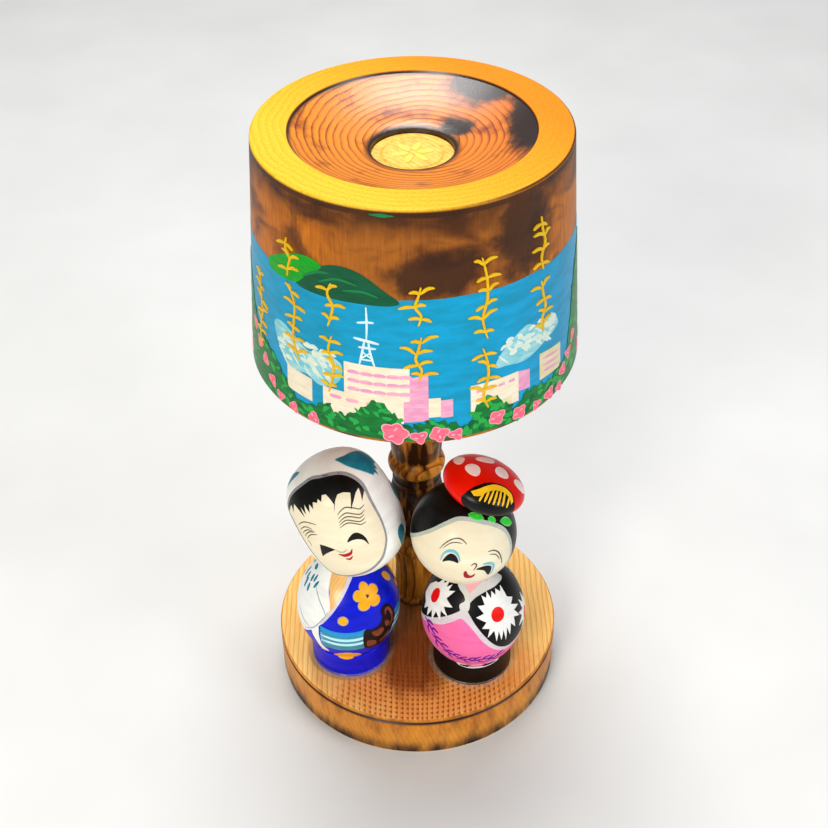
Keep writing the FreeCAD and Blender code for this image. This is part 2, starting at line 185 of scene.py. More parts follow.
class Turned:
    """A turned form: its outline, the place of its foot or middle, and the way its axis points."""

    def __init__(self, outline, place, axis=(0, 0, 1)):
        self.line = bowed(outline)
        turn = Vector((0, 0, 1)).rotation_difference(Vector(axis).normalized()).to_matrix().to_4x4()
        self.stand = Matrix.Translation(Vector(place)) @ turn

    def mesh(self, name, sides=224, floor_level=None):
        """The whole turned form as a closed mesh on an object; nothing goes below floor_level."""
        rows, form = [], bmesh.new()
        for radius, height in self.line:
            if radius < 1e-6:
                rows.append([form.verts.new(self.stand @ Vector((0, 0, height)))])
                continue
            rows.append([form.verts.new(self.stand @ Vector((radius * sin(2 * pi * k / sides),
                                                             -radius * cos(2 * pi * k / sides), height)))
                         for k in range(sides)])
        if len(rows[0]) > 1:
            rows.append(rows[0])
        for low, high in zip(rows, rows[1:]):
            for k in range(sides):
                n = (k + 1) % sides
                corners = [low[k % len(low)], low[n % len(low)], high[n % len(high)], high[k % len(high)]]
                face = list(dict.fromkeys(corners))
                if len(face) > 2:
                    form.faces.new(face)
        if floor_level is not None:
            for corner in form.verts:
                corner.co.z = max(corner.co.z, floor_level)
        return as_piece(name, form)


def as_piece(name, form, crease=32):
    """A mesh object in metres from a form in millimetres, smooth but for edges sharper than crease."""
    bmesh.ops.recalc_face_normals(form, faces=form.faces)
    bmesh.ops.scale(form, vec=(MM, MM, MM), verts=form.verts)
    mesh = bpy.data.meshes.new(name)
    form.to_mesh(mesh)
    form.free()
    mesh.shade_smooth()
    mesh.set_sharp_from_angle(angle=radians(crease))
    piece = bpy.data.objects.new(name, mesh)
    bpy.context.scene.collection.objects.link(piece)
    return piece


def fit(piece, body, slot, finish, *nodes):
    """The piece gets its finish, stands for the CAD nodes named, and moves with the body; slot is not used.
    """
    piece.data.materials.clear()
    piece.data.materials.append(finish)
    if nodes:
        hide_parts(*nodes)
    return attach(piece, body)


def streaks(tree, mm, pace, **settings):
    """Noise drawn out along the grain; pace is how many of its cells a millimetre holds each way."""
    drawn = add(tree, "VectorMath", mm, pace, operation="MULTIPLY")
    return add(tree, "TexNoise", drawn, Scale=1.0, **settings)


def grown(tree, mm, pith, across, ring, wander, pale, middle, late):
    """Colour and depth of growth rings round a pith line; across drops the direction along the fibres.

    Early wood is pale and wide, and late wood ends each ring in a thin dark line.
    """
    flat = add(tree, "VectorMath", mm, across, operation="MULTIPLY")
    away = add(tree, "VectorMath", flat, pith, out="Value", operation="DISTANCE")
    drift = streaks(tree, mm, [0.03 + 0.05 * a for a in across], Detail=2.0)
    swung = add(tree, "Math", drift, wander, away, operation="MULTIPLY_ADD")
    count = add(tree, "Math", swung, ring, operation="DIVIDE")
    part = add(tree, "Math", count, operation="FRACT")
    colour = add(tree, "ValToRGB", part, stops=[(0.0, pale), (0.45, pale), (0.72, middle), (0.9, late),
                                                (0.97, late), (1.0, pale)])
    return colour, part


def layered(tree, ground, *coats):
    """Coats laid over a ground one by one: each its mask or masks, its colour and its way of blending."""
    for masks, colour, *way in coats:
        mask, *others = masks if isinstance(masks, tuple) else (masks,)
        for other in others:
            mask = add(tree, "Math", mask, other, operation="MULTIPLY")
        ground = add(tree, "Mix", inputs={0: mask, 6: ground, 7: colour}, out=2, data_type="RGBA",
                     blend_type=way[0] if way else "MIX")
    return ground


def strongest(tree, *masks):
    """The greatest of several masks, point by point."""
    most = masks[0]
    for mask in masks[1:]:
        most = add(tree, "Math", most, mask, operation="MAXIMUM")
    return most


def from_axis(tree, mm):
    """How far a point lies from the upright axis."""
    flat = add(tree, "VectorMath", mm, (1.0, 1.0, 0.0), operation="MULTIPLY")
    return add(tree, "VectorMath", flat, out="Value", operation="LENGTH")


def soft_spot(tree, mm, middle, stretch, reach, ragged=0.35):
    """1 in a cloud round a point and 0 outside; stretch above 1 narrows it that way, and noise frays it."""
    near = add(tree, "VectorMath", mm, middle, operation="SUBTRACT")
    near = add(tree, "VectorMath", near, stretch, operation="MULTIPLY")
    far = add(tree, "VectorMath", near, out="Value", operation="LENGTH")
    fray = add(tree, "TexNoise", mm, Scale=1 / 7, Detail=4.0, Roughness=0.6)
    far = add(tree, "Math", fray, reach * ragged * 2, far, operation="MULTIPLY_ADD")
    return add(tree, "MapRange", far, reach * (0.45 + ragged), reach * (1.0 + ragged), 1.0, 0.0,
               interpolation_type="SMOOTHERSTEP")


def height_mask(tree, mm, low, high):
    """0 below the lower height and 1 above the upper one; the other way round where low is the greater."""
    up = add(tree, "SeparateXYZ", mm, out="Z")
    return add(tree, "MapRange", up, low, high, interpolation_type="SMOOTHSTEP")


def dress(tree, skin, colour, height, depth):
    """The colour goes on the surface, with bumps of that depth in millimetres from a height of 0 to 1."""
    tree.links.new(colour, skin.inputs["Base Color"])
    bump = add(tree, "Bump", Height=height, Distance=depth * MM, Strength=1.0)
    tree.links.new(bump, skin.inputs["Normal"])


base_radius, base_height = 38.2, 14.0
line_top = base_height - 1.1
base_form = Turned([
    (0, 0), (base_radius - 0.9, 0), (base_radius, 0.9),
    (base_radius, line_top - 0.9), (base_radius - 0.5, line_top - 0.45), (base_radius, line_top),
    (base_radius, base_height - 0.7), (base_radius - 0.7, base_height, 0.2), (0, base_height)], (0, 0, 0))

# Flamed pine under clear lacquer: gold early wood, thin brown late wood, brown clouds of flame and painted
# shade.
base_finish, tree, skin, mm = new_finish("flamed_pine_base", 0.50, Specular_IOR_Level=0.18,
                                         Coat_Weight=0.12, Coat_Roughness=0.22)
grain, part = grown(tree, mm, (-210.0, 0.0, -60.0), (1.0, 0.0, 1.0), 1.30, 2.2, "#FFD27E", "#FFC76E",
                    "#EDA654")
fibres = streaks(tree, mm, (2.6, 0.12, 2.6), Detail=3.0, Roughness=0.7)
tone = add(tree, "ValToRGB", fibres, stops=[(0.3, "#E2BC80"), (0.6, "#FFFFFF")])
# the tool's faint circles, 1.5 mm apart, show where they cross the late wood at the front
tool_pitch = 1.5
from_middle = from_axis(tree, mm)
turns = add(tree, "Math", from_middle, tool_pitch, operation="DIVIDE")
passes = add(tree, "Math", turns, 0.5, operation="PINGPONG")
tool_mark = add(tree, "MapRange", passes, 0.12, 0.30, 1.0, 0.0)
late_wood = add(tree, "MapRange", part, 0.35, 0.8)
front_zone = soft_spot(tree, mm, (2.0, -30.0, 14.0), (0.42, 1.0, 1.0), 13.0, 0.25)
# brown between and behind the dolls, partly flame and partly painted shade under the dolls and the drum,
# and amber round them, also partly painted shade
flamed_and_shaded = strongest(tree, soft_spot(tree, mm, (-1.5, -15.0, 14.0), (1.0, 0.62, 1.0), 13.0),
                   soft_spot(tree, mm, (1.0, 0.0, 14.0), (0.6, 1.0, 1.0), 13.0))
flame_and_shade_streaks = add(tree, "ValToRGB", fibres, stops=[(0.3, "#421504"), (0.7, "#9A4A0E")])
browned_and_shaded = soft_spot(tree, mm, (4.0, -22.0, 14.0), (0.45, 0.7, 1.0), 17.0)
# the side is darker gold with brown streaks, charred in patches along its foot
side_noise = streaks(tree, mm, (0.16, 0.16, 0.05), Detail=5.0, Roughness=0.65)
on_side = add(tree, "MapRange", from_middle, base_radius - 0.5, base_radius - 0.2)
side_gold = add(tree, "ValToRGB", side_noise, stops=[(0.3, "#DE9A26"), (0.6, "#B06C0E")])
streak = add(tree, "MapRange", side_noise, 0.52, 0.68)
char_patches = add(tree, "Math", side_noise, 2.4, -0.35, operation="MULTIPLY_ADD", use_clamp=True)
# the burnt line: black in its groove, and brown just above and below it
up = add(tree, "SeparateXYZ", mm, out="Z")
off_line = add(tree, "Math", up, line_top - 0.45, operation="SUBTRACT")
off_line = add(tree, "Math", off_line, operation="ABSOLUTE")
singed = add(tree, "MapRange", off_line, 0.3, 1.0, 0.8, 0.0)
singed = add(tree, "Math", singed, on_side, operation="MULTIPLY")
in_line = add(tree, "MapRange", off_line, 0.35, 0.5, 1.0, 0.0)
past_rim = add(tree, "MapRange", from_middle, base_radius - 1.2, base_radius - 0.6)
in_line = add(tree, "Math", in_line, past_rim, operation="MULTIPLY")
colour = layered(tree, grain, (0.5, tone, "MULTIPLY"), ((tool_mark, late_wood, front_zone), "#9A5420"),
                 ((flamed_and_shaded, 0.85), flame_and_shade_streaks), ((browned_and_shaded, 0.6), "#F09430", "MULTIPLY"),
                 ((on_side, 0.88), layered(tree, side_gold, (0.35, grain, "MULTIPLY"))),
                 ((streak, on_side, 0.55), "#6B3A10"),
                 ((height_mask(tree, mm, 6.2, 1.2), char_patches, on_side), "#1C0E06"),
                 (strongest(tree, singed, in_line), "#2E1003"))
surface = add(tree, "Math", part, 0.5, fibres, operation="MULTIPLY_ADD")
dress(tree, skin, colour, surface, 0.05)
fit(base_form.mesh("base_board"), "stand", "base_wood", base_finish, "base")

# ================================================================ post
# A softwood spindle, turned in one piece with a bead, a waisted barrel, a cove and a ring, and a tenon at
# each end that is glued into the base and the shade.  It was flamed on the lathe, almost black on the barrel
# and in the hollows, where the black is partly painted shade, and the proud bead, ring and foot stayed golden
# where they were rubbed back, a gold that on the ring is partly a painted highlight.

post_x, post_y = 0.3, 8.6
post_form = Turned([
    (0, 5), (4.5, 5), (4.5, 14), (6.5, 14), (7.3, 14.7, 0.2), (6.5, 16.0, 0.15), (6.5, 31.1, -0.35),
    (6.5, 31.5), (6.5, 31.9), (6.3, 38.5, 1.1), (6.1, 39.1), (6.5, 40.1, -0.12), (6.5, 55.6, 0.9),
    (6.4, 57.8, -0.3), (6.5, 60.5, -0.4), (6.5, 64.6, 1.0), (6.1, 65.3), (6.5, 66.1), (6.5, 101, 1.0),
    (5, 101), (5, 147.5), (0, 147.5)], (post_x, post_y, 0))

# Flame-darkened pine under lacquer: long streaks of gold, brown and soot up the grain, and a wet gloss.
post_finish, tree, skin, mm = new_finish("flamed_pine_post", 0.45, Specular_IOR_Level=0.08,
                                         Coat_Weight=0.10, Coat_Roughness=0.14)
grain, part = grown(tree, mm, (post_x - 9.0, post_y + 14.0, 0.0), (1.0, 1.0, 0.0), 1.5, 1.4, "#EDA038",
                    "#D88624", "#9C5812")
smoke = streaks(tree, mm, (0.34, 0.34, 0.05), Detail=5.0, Roughness=0.6)
cloud = add(tree, "TexNoise", mm, Scale=1 / 5, Detail=3.0)
up = add(tree, "SeparateXYZ", mm, out="Z")
# soot and painted shade from its foot to its top, added to the smoke: black leaves the wood gold and white
# covers it; the gold band on the ring is partly a painted highlight, the black in the hollows partly painted
# shade
soot_and_shade = add(tree, "ValToRGB", add(tree, "MapRange", up, 14.0, 101.0), stops=[
    (0.0, "#F0F0F0"), (0.02, "#505050"), (0.15, "#505050"), (0.19, "#B0B0B0"), (0.26, "#A0A0A0"),
    (0.34, "#E8E8E8"), (0.47, "#FFFFFF"), (0.535, "#FFFFFF"), (0.545, "#202020"), (0.59, "#303030"),
    (0.61, "#D8D8D8"), (1.0, "#C0C0C0")])
dark = add(tree, "Math", smoke, 4.4, -2.05, operation="MULTIPLY_ADD")
dark = add(tree, "Math", dark, soot_and_shade, operation="ADD", use_clamp=True)
colour = layered(tree, grain, (dark, "#170A03"), ((cloud, 0.35), "#5A2C0A"))
dress(tree, skin, colour, smoke, 0.08)
fit(post_form.mesh("post_spindle", 160), "stand", "post_wood", post_finish, "post")

# ================================================================ shade, its dish and its plug
# A drum turned from a log with the pith near its middle, so its rings run round the top.  It tapers
# upwards, has a flat rim and a dish with a disc set in the bottom, and sits on the post's tenon.  Flamed
# and lacquered: clouds of brown on the side, soot under the rim and round the dish.

shade_level, shade_height = 101.0, 58.0
shade_low, shade_top, low_round = 39.1, 35.4, 1.6
shade_form = Turned([
    (5, 0), (shade_low - low_round, 0), (shade_low, low_round, low_round * 0.29), (shade_top, 57.4),
    (shade_top - 0.6, shade_height, 0.17), (27.4, shade_height), (27.1, 57.4), (9.7, 52.7, -0.9),
    (9.3, 52.4), (9.3, 47.4), (5, 47.4)], (post_x, post_y, shade_level))

# Flamed pine with a thick lacquer: amber where it is thin, near black where the flame sat.
shade_finish, tree, skin, mm = new_finish("flamed_pine_shade", 0.45, Specular_IOR_Level=0.12,
                                          Coat_Roughness=0.26)
own = add(tree, "VectorMath", mm, (post_x, post_y, shade_level), operation="SUBTRACT")
grain, part = grown(tree, own, (2.0, 3.0, 0.0), (1.0, 1.0, 0.0), 1.6, 2.6, "#E88C18", "#D27208", "#883806")
patchy = add(tree, "TexNoise", own, Scale=1 / 9, Detail=4.0, Roughness=0.6)
amber = add(tree, "MapRange", patchy, 0.46, 0.78)
brown = add(tree, "MapRange", patchy, 0.47, 0.30, To_Max=0.75)
grain = layered(tree, grain, (amber, "#DE7F18"), (brown, "#7E360A", "MULTIPLY"))
away = from_axis(tree, own)
up = add(tree, "SeparateXYZ", own, out="Z")
fibres = streaks(tree, own, (1.9, 1.9, 0.07), Detail=4.0, Roughness=0.65)
# the flat rim: gold at the left and front, orange towards the right and the back, partly as painted shade,
# and dark along its outer edge on the right
towards = add(tree, "VectorMath", own, (0.7, 0.5, 0.0), out="Value", operation="DOT_PRODUCT")
warm_and_shaded = add(tree, "MapRange", towards, -22.0, 24.0)
rim_gold_and_shade = add(tree, "ValToRGB", warm_and_shaded, stops=[(0.0, "#FFCA30"), (0.5, "#F6AC14"), (1.0, "#EC8A04")])
rim_tone = add(tree, "ValToRGB", fibres, stops=[(0.3, "#D8A860"), (0.6, "#FFFFFF")])
rim_colour = layered(tree, rim_gold_and_shade, ((part, 0.35), "#D9860E"), (0.5, rim_tone, "MULTIPLY"))
on_rim = add(tree, "MapRange", up, 57.3, 57.8)
rim_edge = add(tree, "MapRange", away, shade_top - 0.55, shade_top - 0.25)
to_right = add(tree, "MapRange", add(tree, "SeparateXYZ", own, out="X"), 2.0, 22.0)
# the side: amber with long fibres, brown clouds and soot just under the rim
side_grain = add(tree, "ValToRGB", fibres, stops=[(0.25, "#8E4604"), (0.45, "#B66404"), (0.62, "#C87206"),
                                                  (0.8, "#D88410")])
smoke = streaks(tree, own, (0.075, 0.075, 0.13), Detail=3.0, Roughness=0.5, Distortion=0.6)
smoke = add(tree, "MapRange", smoke, 0.40, 0.66, To_Max=0.85, interpolation_type="SMOOTHSTEP")
front_brown = soft_spot(tree, own, (4.0, -37.0, 48.0), (0.5, 0.5, 0.6), 16.0, 0.25)
clouds = [soft_spot(tree, own, *cloud, 0.5) for cloud in (
    ((5.0, -37.0, 42.5), (0.62, 0.5, 1.1), 9.0), ((23.0, -28.0, 50.0), (1.0, 0.8, 0.62), 10.0),
    ((24.0, 28.0, 44.0), (0.7, 0.7, 1.0), 12.0), ((-24.0, 28.0, 48.0), (0.7, 0.7, 1.0), 11.0))]
uneven = add(tree, "Math", patchy, 1.9, -0.15, operation="MULTIPLY_ADD", use_clamp=True)
under_rim = add(tree, "Math", height_mask(tree, own, 49.0, 56.6), uneven, operation="MULTIPLY")
burn = strongest(tree, *clouds, under_rim, height_mask(tree, own, 55.4, 56.4))
side_colour = layered(tree, side_grain, ((front_brown, 0.55), "#845020"), (smoke, "#441E06"),
                      ((burn, 0.9), "#2E170A"))
# the dish: rings of amber and brown, darker towards the right and the back partly as painted shade, and soot
# along its right edge, round the disc and under its rim
soot_and_shade = strongest(tree, soft_spot(tree, own, (27.0, 2.0, 57.0), (0.8, 0.30, 1.0), 7.0, 0.5),
                 soft_spot(tree, own, (17.0, 21.0, 57.0), (0.55, 0.8, 1.0), 7.0, 0.6),
                 soft_spot(tree, own, (9.0, 8.5, 54.0), (0.8, 0.8, 1.0), 5.0, 0.6),
                 add(tree, "MapRange", away, 11.2, 9.8), add(tree, "MapRange", away, 26.3, 27.1))
dish_tone_and_shade = add(tree, "ValToRGB", warm_and_shaded, stops=[(0.0, "#FFFFFF"), (0.5, "#FFF6DC"), (1.0, "#F4CC90")])
dish_colour = layered(tree, grain, (0.8, dish_tone_and_shade, "MULTIPLY"), (soot_and_shade, "#231109"))
in_dish = add(tree, "MapRange", away, 27.45, 27.25)
colour = layered(tree, side_colour, (on_rim, rim_colour), (in_dish, dish_colour),
                 ((rim_edge, on_rim, to_right), "#4A2A12"))
speckle = add(tree, "TexNoise", own, Scale=2.2, Detail=3.0, Roughness=0.7)
surface = add(tree, "Math", part, 0.35, fibres, operation="MULTIPLY_ADD")
surface = add(tree, "Math", speckle, surface, operation="ADD")
dress(tree, skin, colour, surface, 0.10)
# the lacquer is thick only in the dish, where it set with a fine orange peel
orange_peel = add(tree, "Bump", Height=speckle, Distance=0.05 * MM, Strength=1.0)
tree.links.new(orange_peel, skin.inputs["Coat Normal"])
gloss = add(tree, "MapRange", in_dish, To_Min=0.10, To_Max=0.9)
tree.links.new(gloss, skin.inputs["Coat Weight"])
fit(shade_form.mesh("shade_drum", 256), "stand", "shade_wood", shade_finish, "shade")

plug_form = Turned([
    (0, 0), (9.3, 0), (9.3, 3.8), (9.1, 4.0), (7.25, 4.0), (6.9, 3.65), (6.55, 4.0), (0, 4.0)],
    (post_x, post_y, shade_level + 47.4))
# Pale pine disc, lacquered but not flamed: straw yellow, with a thin ring cut in it.
plug_finish, tree, skin, mm = new_finish("pale_pine_disc", 0.36, Coat_Weight=0.4, Coat_Roughness=0.12)
grain, part = grown(tree, mm, (-30.0, -20.0, 0.0), (1.0, 1.0, 0.0), 1.2, 1.0, "#FACB5C", "#F7C454",
                    "#EDB446")
mottle = add(tree, "TexNoise", mm, Scale=1 / 1.5, Detail=3.0)
tone = add(tree, "ValToRGB", mottle, stops=[(0.35, "#E2B884"), (0.6, "#FFFFFF")])
dress(tree, skin, layered(tree, grain, (0.5, tone, "MULTIPLY")), part, 0.03)
fit(plug_form.mesh("dish_disc", 128), "stand", "plug_wood", plug_finish, "shade_plug")

# ================================================================ the mural round the shade
# A seaside hot-spring town, painted by hand in poster enamel on the lower two thirds of the drum: sky and
# sea, hills, a lattice tower, cream blocks, steam, and azaleas along the foot.  Gold brushwork runs over it
# in columns; here it is plain leafy sprigs.  The paint stands a hair above the wood and shows its strokes.


class Skin:
    """The outside of a turned form rolled out flat: brush shapes are drawn on it and laid on the wood.

    A point is given by its angle, 0 at the front and growing to the right, and its height on the form's axis.
    Rolled, a form is cut down its back; as a crown, it is spread round its upper pole.
    """

    def __init__(self, form, outline, body="stand", crown=False):
        self.stand, self.body, self.crown = form.stand, body, crown
        self.line = bowed(outline)
        if crown:
            self.line.reverse()
        self.run = [0.0]
        for a, b in zip(self.line, self.line[1:]):
            self.run.append(self.run[-1] + (b - a).length)
        self.widest = max(p.x for p in self.line)

    def along(self, height):
        """How far along the outline the height is."""
        for (a, b), start in zip(zip(self.line, self.line[1:]), self.run):
            low, high = sorted((a.y, b.y))
            if low <= height <= high and high > low:
                return start + (b - a).length * (height - a.y) / (b.y - a.y)
        return self.run[-1] if (height < self.line[0].y) == self.crown else 0.0

    def spot(self, angle, height, right=0.0, up=0.0):
        """The flat place of a point, or of one a few millimetres to its right and up the surface."""
        run = self.along(height)
        radius = max(self.profile(run)[0].x, 0.02)
        turn = radians(angle)
        if self.crown:
            out, side = Vector((sin(turn), -cos(turn))), Vector((cos(turn), sin(turn)))
            return out * (run - up) + side * (right * max(run, 0.02) / radius)
        return Vector((turn * self.widest + right * self.widest / radius, run + up))

    def profile(self, run):
        """The outline's point and outward direction at that run."""
        k = min(max(bisect_right(self.run, run) - 1, 0), len(self.line) - 2)
        a, b = self.line[k], self.line[k + 1]
        share = (run - self.run[k]) / max(self.run[k + 1] - self.run[k], 1e-9)
        step = (b - a).normalized()
        out = Vector((-step.y, step.x)) if self.crown else Vector((step.y, -step.x))
        return a.lerp(b, share), out

    def lay(self, flat, lift):
        """The place in space of a flat point, lifted off the surface."""
        if self.crown:
            run, turn = flat.length, atan2(flat.x, -flat.y)
        else:
            run, turn = flat.y, flat.x / self.widest
        point, out = self.profile(run)
        radius, height = point.x + out.x * lift, point.y + out.y * lift
        return self.stand @ Vector((radius * sin(turn), -radius * cos(turn), height))


def flowing(points, closed=False, step=0.4):
    """Points along a smooth curve through the given ones."""
    count, curve = len(points), []
    for k in range(count if closed else count - 1):
        places = [(k + j) % count if closed else min(max(k + j, 0), count - 1) for j in (-1, 0, 1, 2)]
        near = [points[place] for place in places]
        a, b, c, d = near
        gaps = [max((q - p).length, 1e-5) ** 0.5 for p, q in zip(near, near[1:])]
        leave = ((b - a) / gaps[0] - (c - a) / (gaps[0] + gaps[1]) + (c - b) / gaps[1]) * gaps[1]
        arrive = ((c - b) / gaps[1] - (d - b) / (gaps[1] + gaps[2]) + (d - c) / gaps[2]) * gaps[1]
        for n in range(max(1, ceil((c - b).length / step))):
            t = n / max(1, ceil((c - b).length / step))
            curve.append(b * (2 * t ** 3 - 3 * t * t + 1) + leave * (t ** 3 - 2 * t * t + t)
                         + c * (3 * t * t - 2 * t ** 3) + arrive * (t ** 3 - t * t))
    return curve if closed else curve + [points[-1]]


def on(skin, *points):
    """Flat places of (angle, height) points."""
    return [skin.spot(*p) for p in points]


def patch(skin, *points, step=0.4):
    """A closed shape with a flowing edge."""
    return flowing(on(skin, *points), True, step)


def between(skin, one, other):
    """A closed shape between two flowing lines, the second drawn back from the end of the first."""
    return flowing(on(skin, *one)) + flowing(on(skin, *other))


def stroke(skin, *points, width=0.4, ends=0.25, step=0.35):
    """One brush stroke, fullest in the middle."""
    line = flowing(on(skin, *points), False, step)
    lengths = [0.0]
    for a, b in zip(line, line[1:]):
        lengths.append(lengths[-1] + (b - a).length)
    left, right = [], []
    for k, point in enumerate(line):
        way = (line[min(k + 1, len(line) - 1)] - line[max(k - 1, 0)]).normalized()
        share = lengths[k] / max(lengths[-1], 1e-6)
        half = width / 2 * (ends + (1 - ends) * max(0.0, sin(pi * share)) ** 0.6)
        beside = Vector((-way.y, way.x)) * half
        left.append(point + beside)
        right.append(point - beside)
    first, last = (line[1] - line[0]).normalized(), (line[-1] - line[-2]).normalized()
    cap = width / 2 * ends
    return ([line[0] - first * cap] + right + [line[-1] + last * cap] + left[::-1])


def strokes(skin, lines, ends=0.25):
    """Several strokes, each its width and then its points."""
    return [stroke(skin, *points, width=width, ends=ends) for width, *points in lines]


def oval(skin, angle, height, wide, high, lean=0.0, lobes=0, depth=0.0, turn=0.0):
    """An oval of that width and height in millimetres; lobes make it a flower or a ragged dab."""
    edge, tip = [], radians(lean)
    steps = max(18, ceil(pi * max(wide, high) / 0.35), lobes * 8)
    for k in range(steps):
        t = 2 * pi * k / steps
        swell = 1 + depth * cos(lobes * (t + radians(turn))) if lobes else 1
        x, y = wide / 2 * swell * cos(t), high / 2 * swell * sin(t)
        edge.append(skin.spot(angle, height, x * cos(tip) - y * sin(tip), x * sin(tip) + y * cos(tip)))
    return edge


def inside(point, edge):
    """Whether a flat point lies within a closed edge."""
    hit = False
    for a, b in zip(edge, edge[1:] + edge[:1]):
        crosses = (a.y > point.y) != (b.y > point.y)
        if crosses and point.x < (b.x - a.x) * (point.y - a.y) / (b.y - a.y) + a.x:
            hit = not hit
    return hit


sunk = 0.04  # how deep the back of a paint film stands in the wood


def paint(name, skin, shapes, lift, slot, finish, grid=0.9):
    """Brush shapes as one thin piece of closed films, each with its face lift above the wood."""
    form = bmesh.new()
    for edge in shapes:
        edge = [p for p, q in zip(edge, edge[1:] + edge[:1]) if (q - p).length > 0.03]
        xs, ys = [p.x for p in edge], [p.y for p in edge]
        left, foot, clear = min(xs), min(ys), (grid * 0.45) ** 2
        points = list(edge)
        for row in range(ceil((max(ys) - foot) / grid)):
            for column in range(ceil((max(xs) - left) / grid)):
                shift = 0.5 * (row % 2)
                point = Vector((left + (column + 0.5 + shift) * grid, foot + (row + 0.5) * grid))
                if inside(point, edge) and min((point - q).length_squared for q in edge) > clear:
                    points.append(point)
        flat, _, faces, *_ = delaunay_2d_cdt(points, [], [list(range(len(edge)))], 1, 1e-4)
        top = [form.verts.new(skin.lay(p, lift)) for p in flat]
        low = [form.verts.new(skin.lay(p, -sunk)) for p in flat]
        sides = {}
        for face in faces:
            form.faces.new([top[k] for k in face])
            form.faces.new([low[k] for k in reversed(face)])
            for a, b in zip(face, face[1:] + face[:1]):
                sides[(a, b)] = (b, a) not in sides
                if not sides[(a, b)]:
                    del sides[(a, b)], sides[(b, a)]
        for a, b in sides:
            form.faces.new([top[b], top[a], low[a], low[b]])
    bmesh.ops.delete(form, geom=[v for v in form.verts if not v.link_faces], context="VERTS")
    return fit(as_piece(name, form, 60), skin.body, slot, finish)


def enamel(name, colour, other, roughness=0.42, coat=0.10, grain=1.2):
    """Poster enamel put on with a soft brush and lacquered: two close tones, low stroke ridges, a soft gloss.

    Strokes run level, grain millimetres apart.
    """
    made, tree, skin, mm = new_finish(name, roughness, Specular_IOR_Level=0.14, Coat_Weight=coat,
                                      Coat_Roughness=0.12)
    marks = streaks(tree, mm, (0.25 / grain, 0.25 / grain, 1 / grain), Detail=4.0, Roughness=0.6)
    tone = add(tree, "MapRange", marks, 0.35, 0.65)
    dress(tree, skin, layered(tree, colour, (tone, other)), marks, 0.03)
    return made


def joined(form, rings):
    """Faces from each ring of corners to the next, and from the last to the first."""
    for a, b in zip(rings, rings[1:] + rings[:1]):
        for k in range(len(a)):
            n = (k + 1) % len(a)
            form.faces.new([a[k], a[n], b[n], b[k]])


def band(name, skin, low, high, lift, wave, slot, finish, sides=256):
    """A painted band right round a form, its upper edge wandering by wave millimetres."""
    form, rows = bmesh.new(), []
    steps = max(2, ceil((high - low) / 1.5))
    levels = [(low + (high - low) * k / steps, lift, k / steps) for k in range(steps + 1)]
    levels = [(low, -sunk, 0)] + levels + [(high, -sunk, 1)]
    for height, off, share in levels:
        ring = []
        for k in range(sides):
            t = 2 * pi * k / sides
            sway = wave * share * (sin(3 * t + 1) + 0.6 * sin(7 * t) + 0.4 * sin(17 * t + 2))
            run = skin.along(height) + sway
            ring.append(form.verts.new(skin.lay(Vector((t * skin.widest, run)), off)))
        rows.append(ring)
    joined(form, rows)
    return fit(as_piece(name, form, 60), skin.body, slot, finish)


drum = Skin(shade_form, [(shade_low, low_round), (shade_top, 57.4)])
drum_foot = Skin(shade_form, [(shade_low - low_round, 0), (shade_low, low_round, low_round * 0.29),
                              (shade_top, 57.4)])
sky_blue = enamel("sky_blue_enamel", "#009ACC", "#008AAE", grain=2.2)
band("mural_sky", drum_foot, 0.1, 37.3, 0.05, 0.16, "blue_paint", sky_blue)

near_green = enamel("bright_green_enamel", "#06A81C", "#03921A")
far_green = enamel("fir_green_enamel", "#004C2C", "#02583A")
hill_near = patch(drum, (-58, 35.6), (-58, 37.4), (-53, 39.7), (-44, 42.6), (-37, 43.4), (-32, 42.2),
                        (-38, 39), (-43, 36))
hill_far = patch(drum, (-43, 36), (-39, 39), (-32, 42.4), (-25, 43.6), (-18, 42.8), (-10, 39.4), (-5, 36.6),
                       (-20, 35.6))
hill_back = patch(drum, (138, 36), (150, 40), (163, 42.6), (178, 41.2), (192, 42), (205, 39), (216, 36),
                        (178, 35))
paint("mural_far_hills", drum, [hill_far, hill_back], 0.09, "blue_paint", far_green, 1.5)
hill_back_near = patch(drum, (118, 35.6), (128, 38.4), (140, 39.6), (152, 38), (160, 35.4))
paint("mural_near_hills", drum, [hill_near, hill_back_near], 0.11, "blue_paint", near_green, 1.5)
ridge_green = enamel("leaf_green_enamel", "#128040", "#0E7440")
paint("mural_hill_strokes", drum, strokes(drum, [
    (0.7, (-40, 38.2), (-34, 40.6), (-29, 41.2)),
    (0.6, (-33, 38.5), (-26, 40.4), (-19, 39.8)),
    (0.6, (-24, 38.0), (-17, 38.6), (-12, 37.7)),
    (0.7, (150, 38), (162, 40.6), (171, 39.8)),
    (0.7, (176, 38.6), (188, 40), (198, 38.2))]), 0.13, "blue_paint", ridge_green)

steam_white = enamel("steam_blue_enamel", "#6ABCCC", "#A4D4D6", grain=1.0)
steam = [patch(drum, (-55, 22.4), (-51, 23.6), (-45, 22.4), (-38, 20.0), (-32, 21.2), (-25, 19.4),
               (-26, 14.8), (-33, 12.2), (-39, 13.6), (-45, 12.6), (-52, 16.4)),
         patch(drum, (34, 23.4), (40, 25.2), (46, 23.4), (53, 24.2), (57, 20), (50, 18.4), (39, 16.4),
               (31, 17.2), (27, 17.6), (29, 20.6)),
         patch(drum, (150, 20), (157, 23), (165, 21.6), (173, 24), (181, 20.6), (176, 17), (160, 16)),
         patch(drum, (-134, 19), (-127, 22), (-119, 20.8), (-112, 22.6), (-106, 18.6), (-118, 15.6))]
paint("mural_steam", drum, steam, 0.09, "white_paint", steam_white, 1.5)
steam_pale = enamel("steam_pale_enamel", "#E6E6CC", "#BCDCD8", grain=0.7)
puffs = []
random.seed(5)
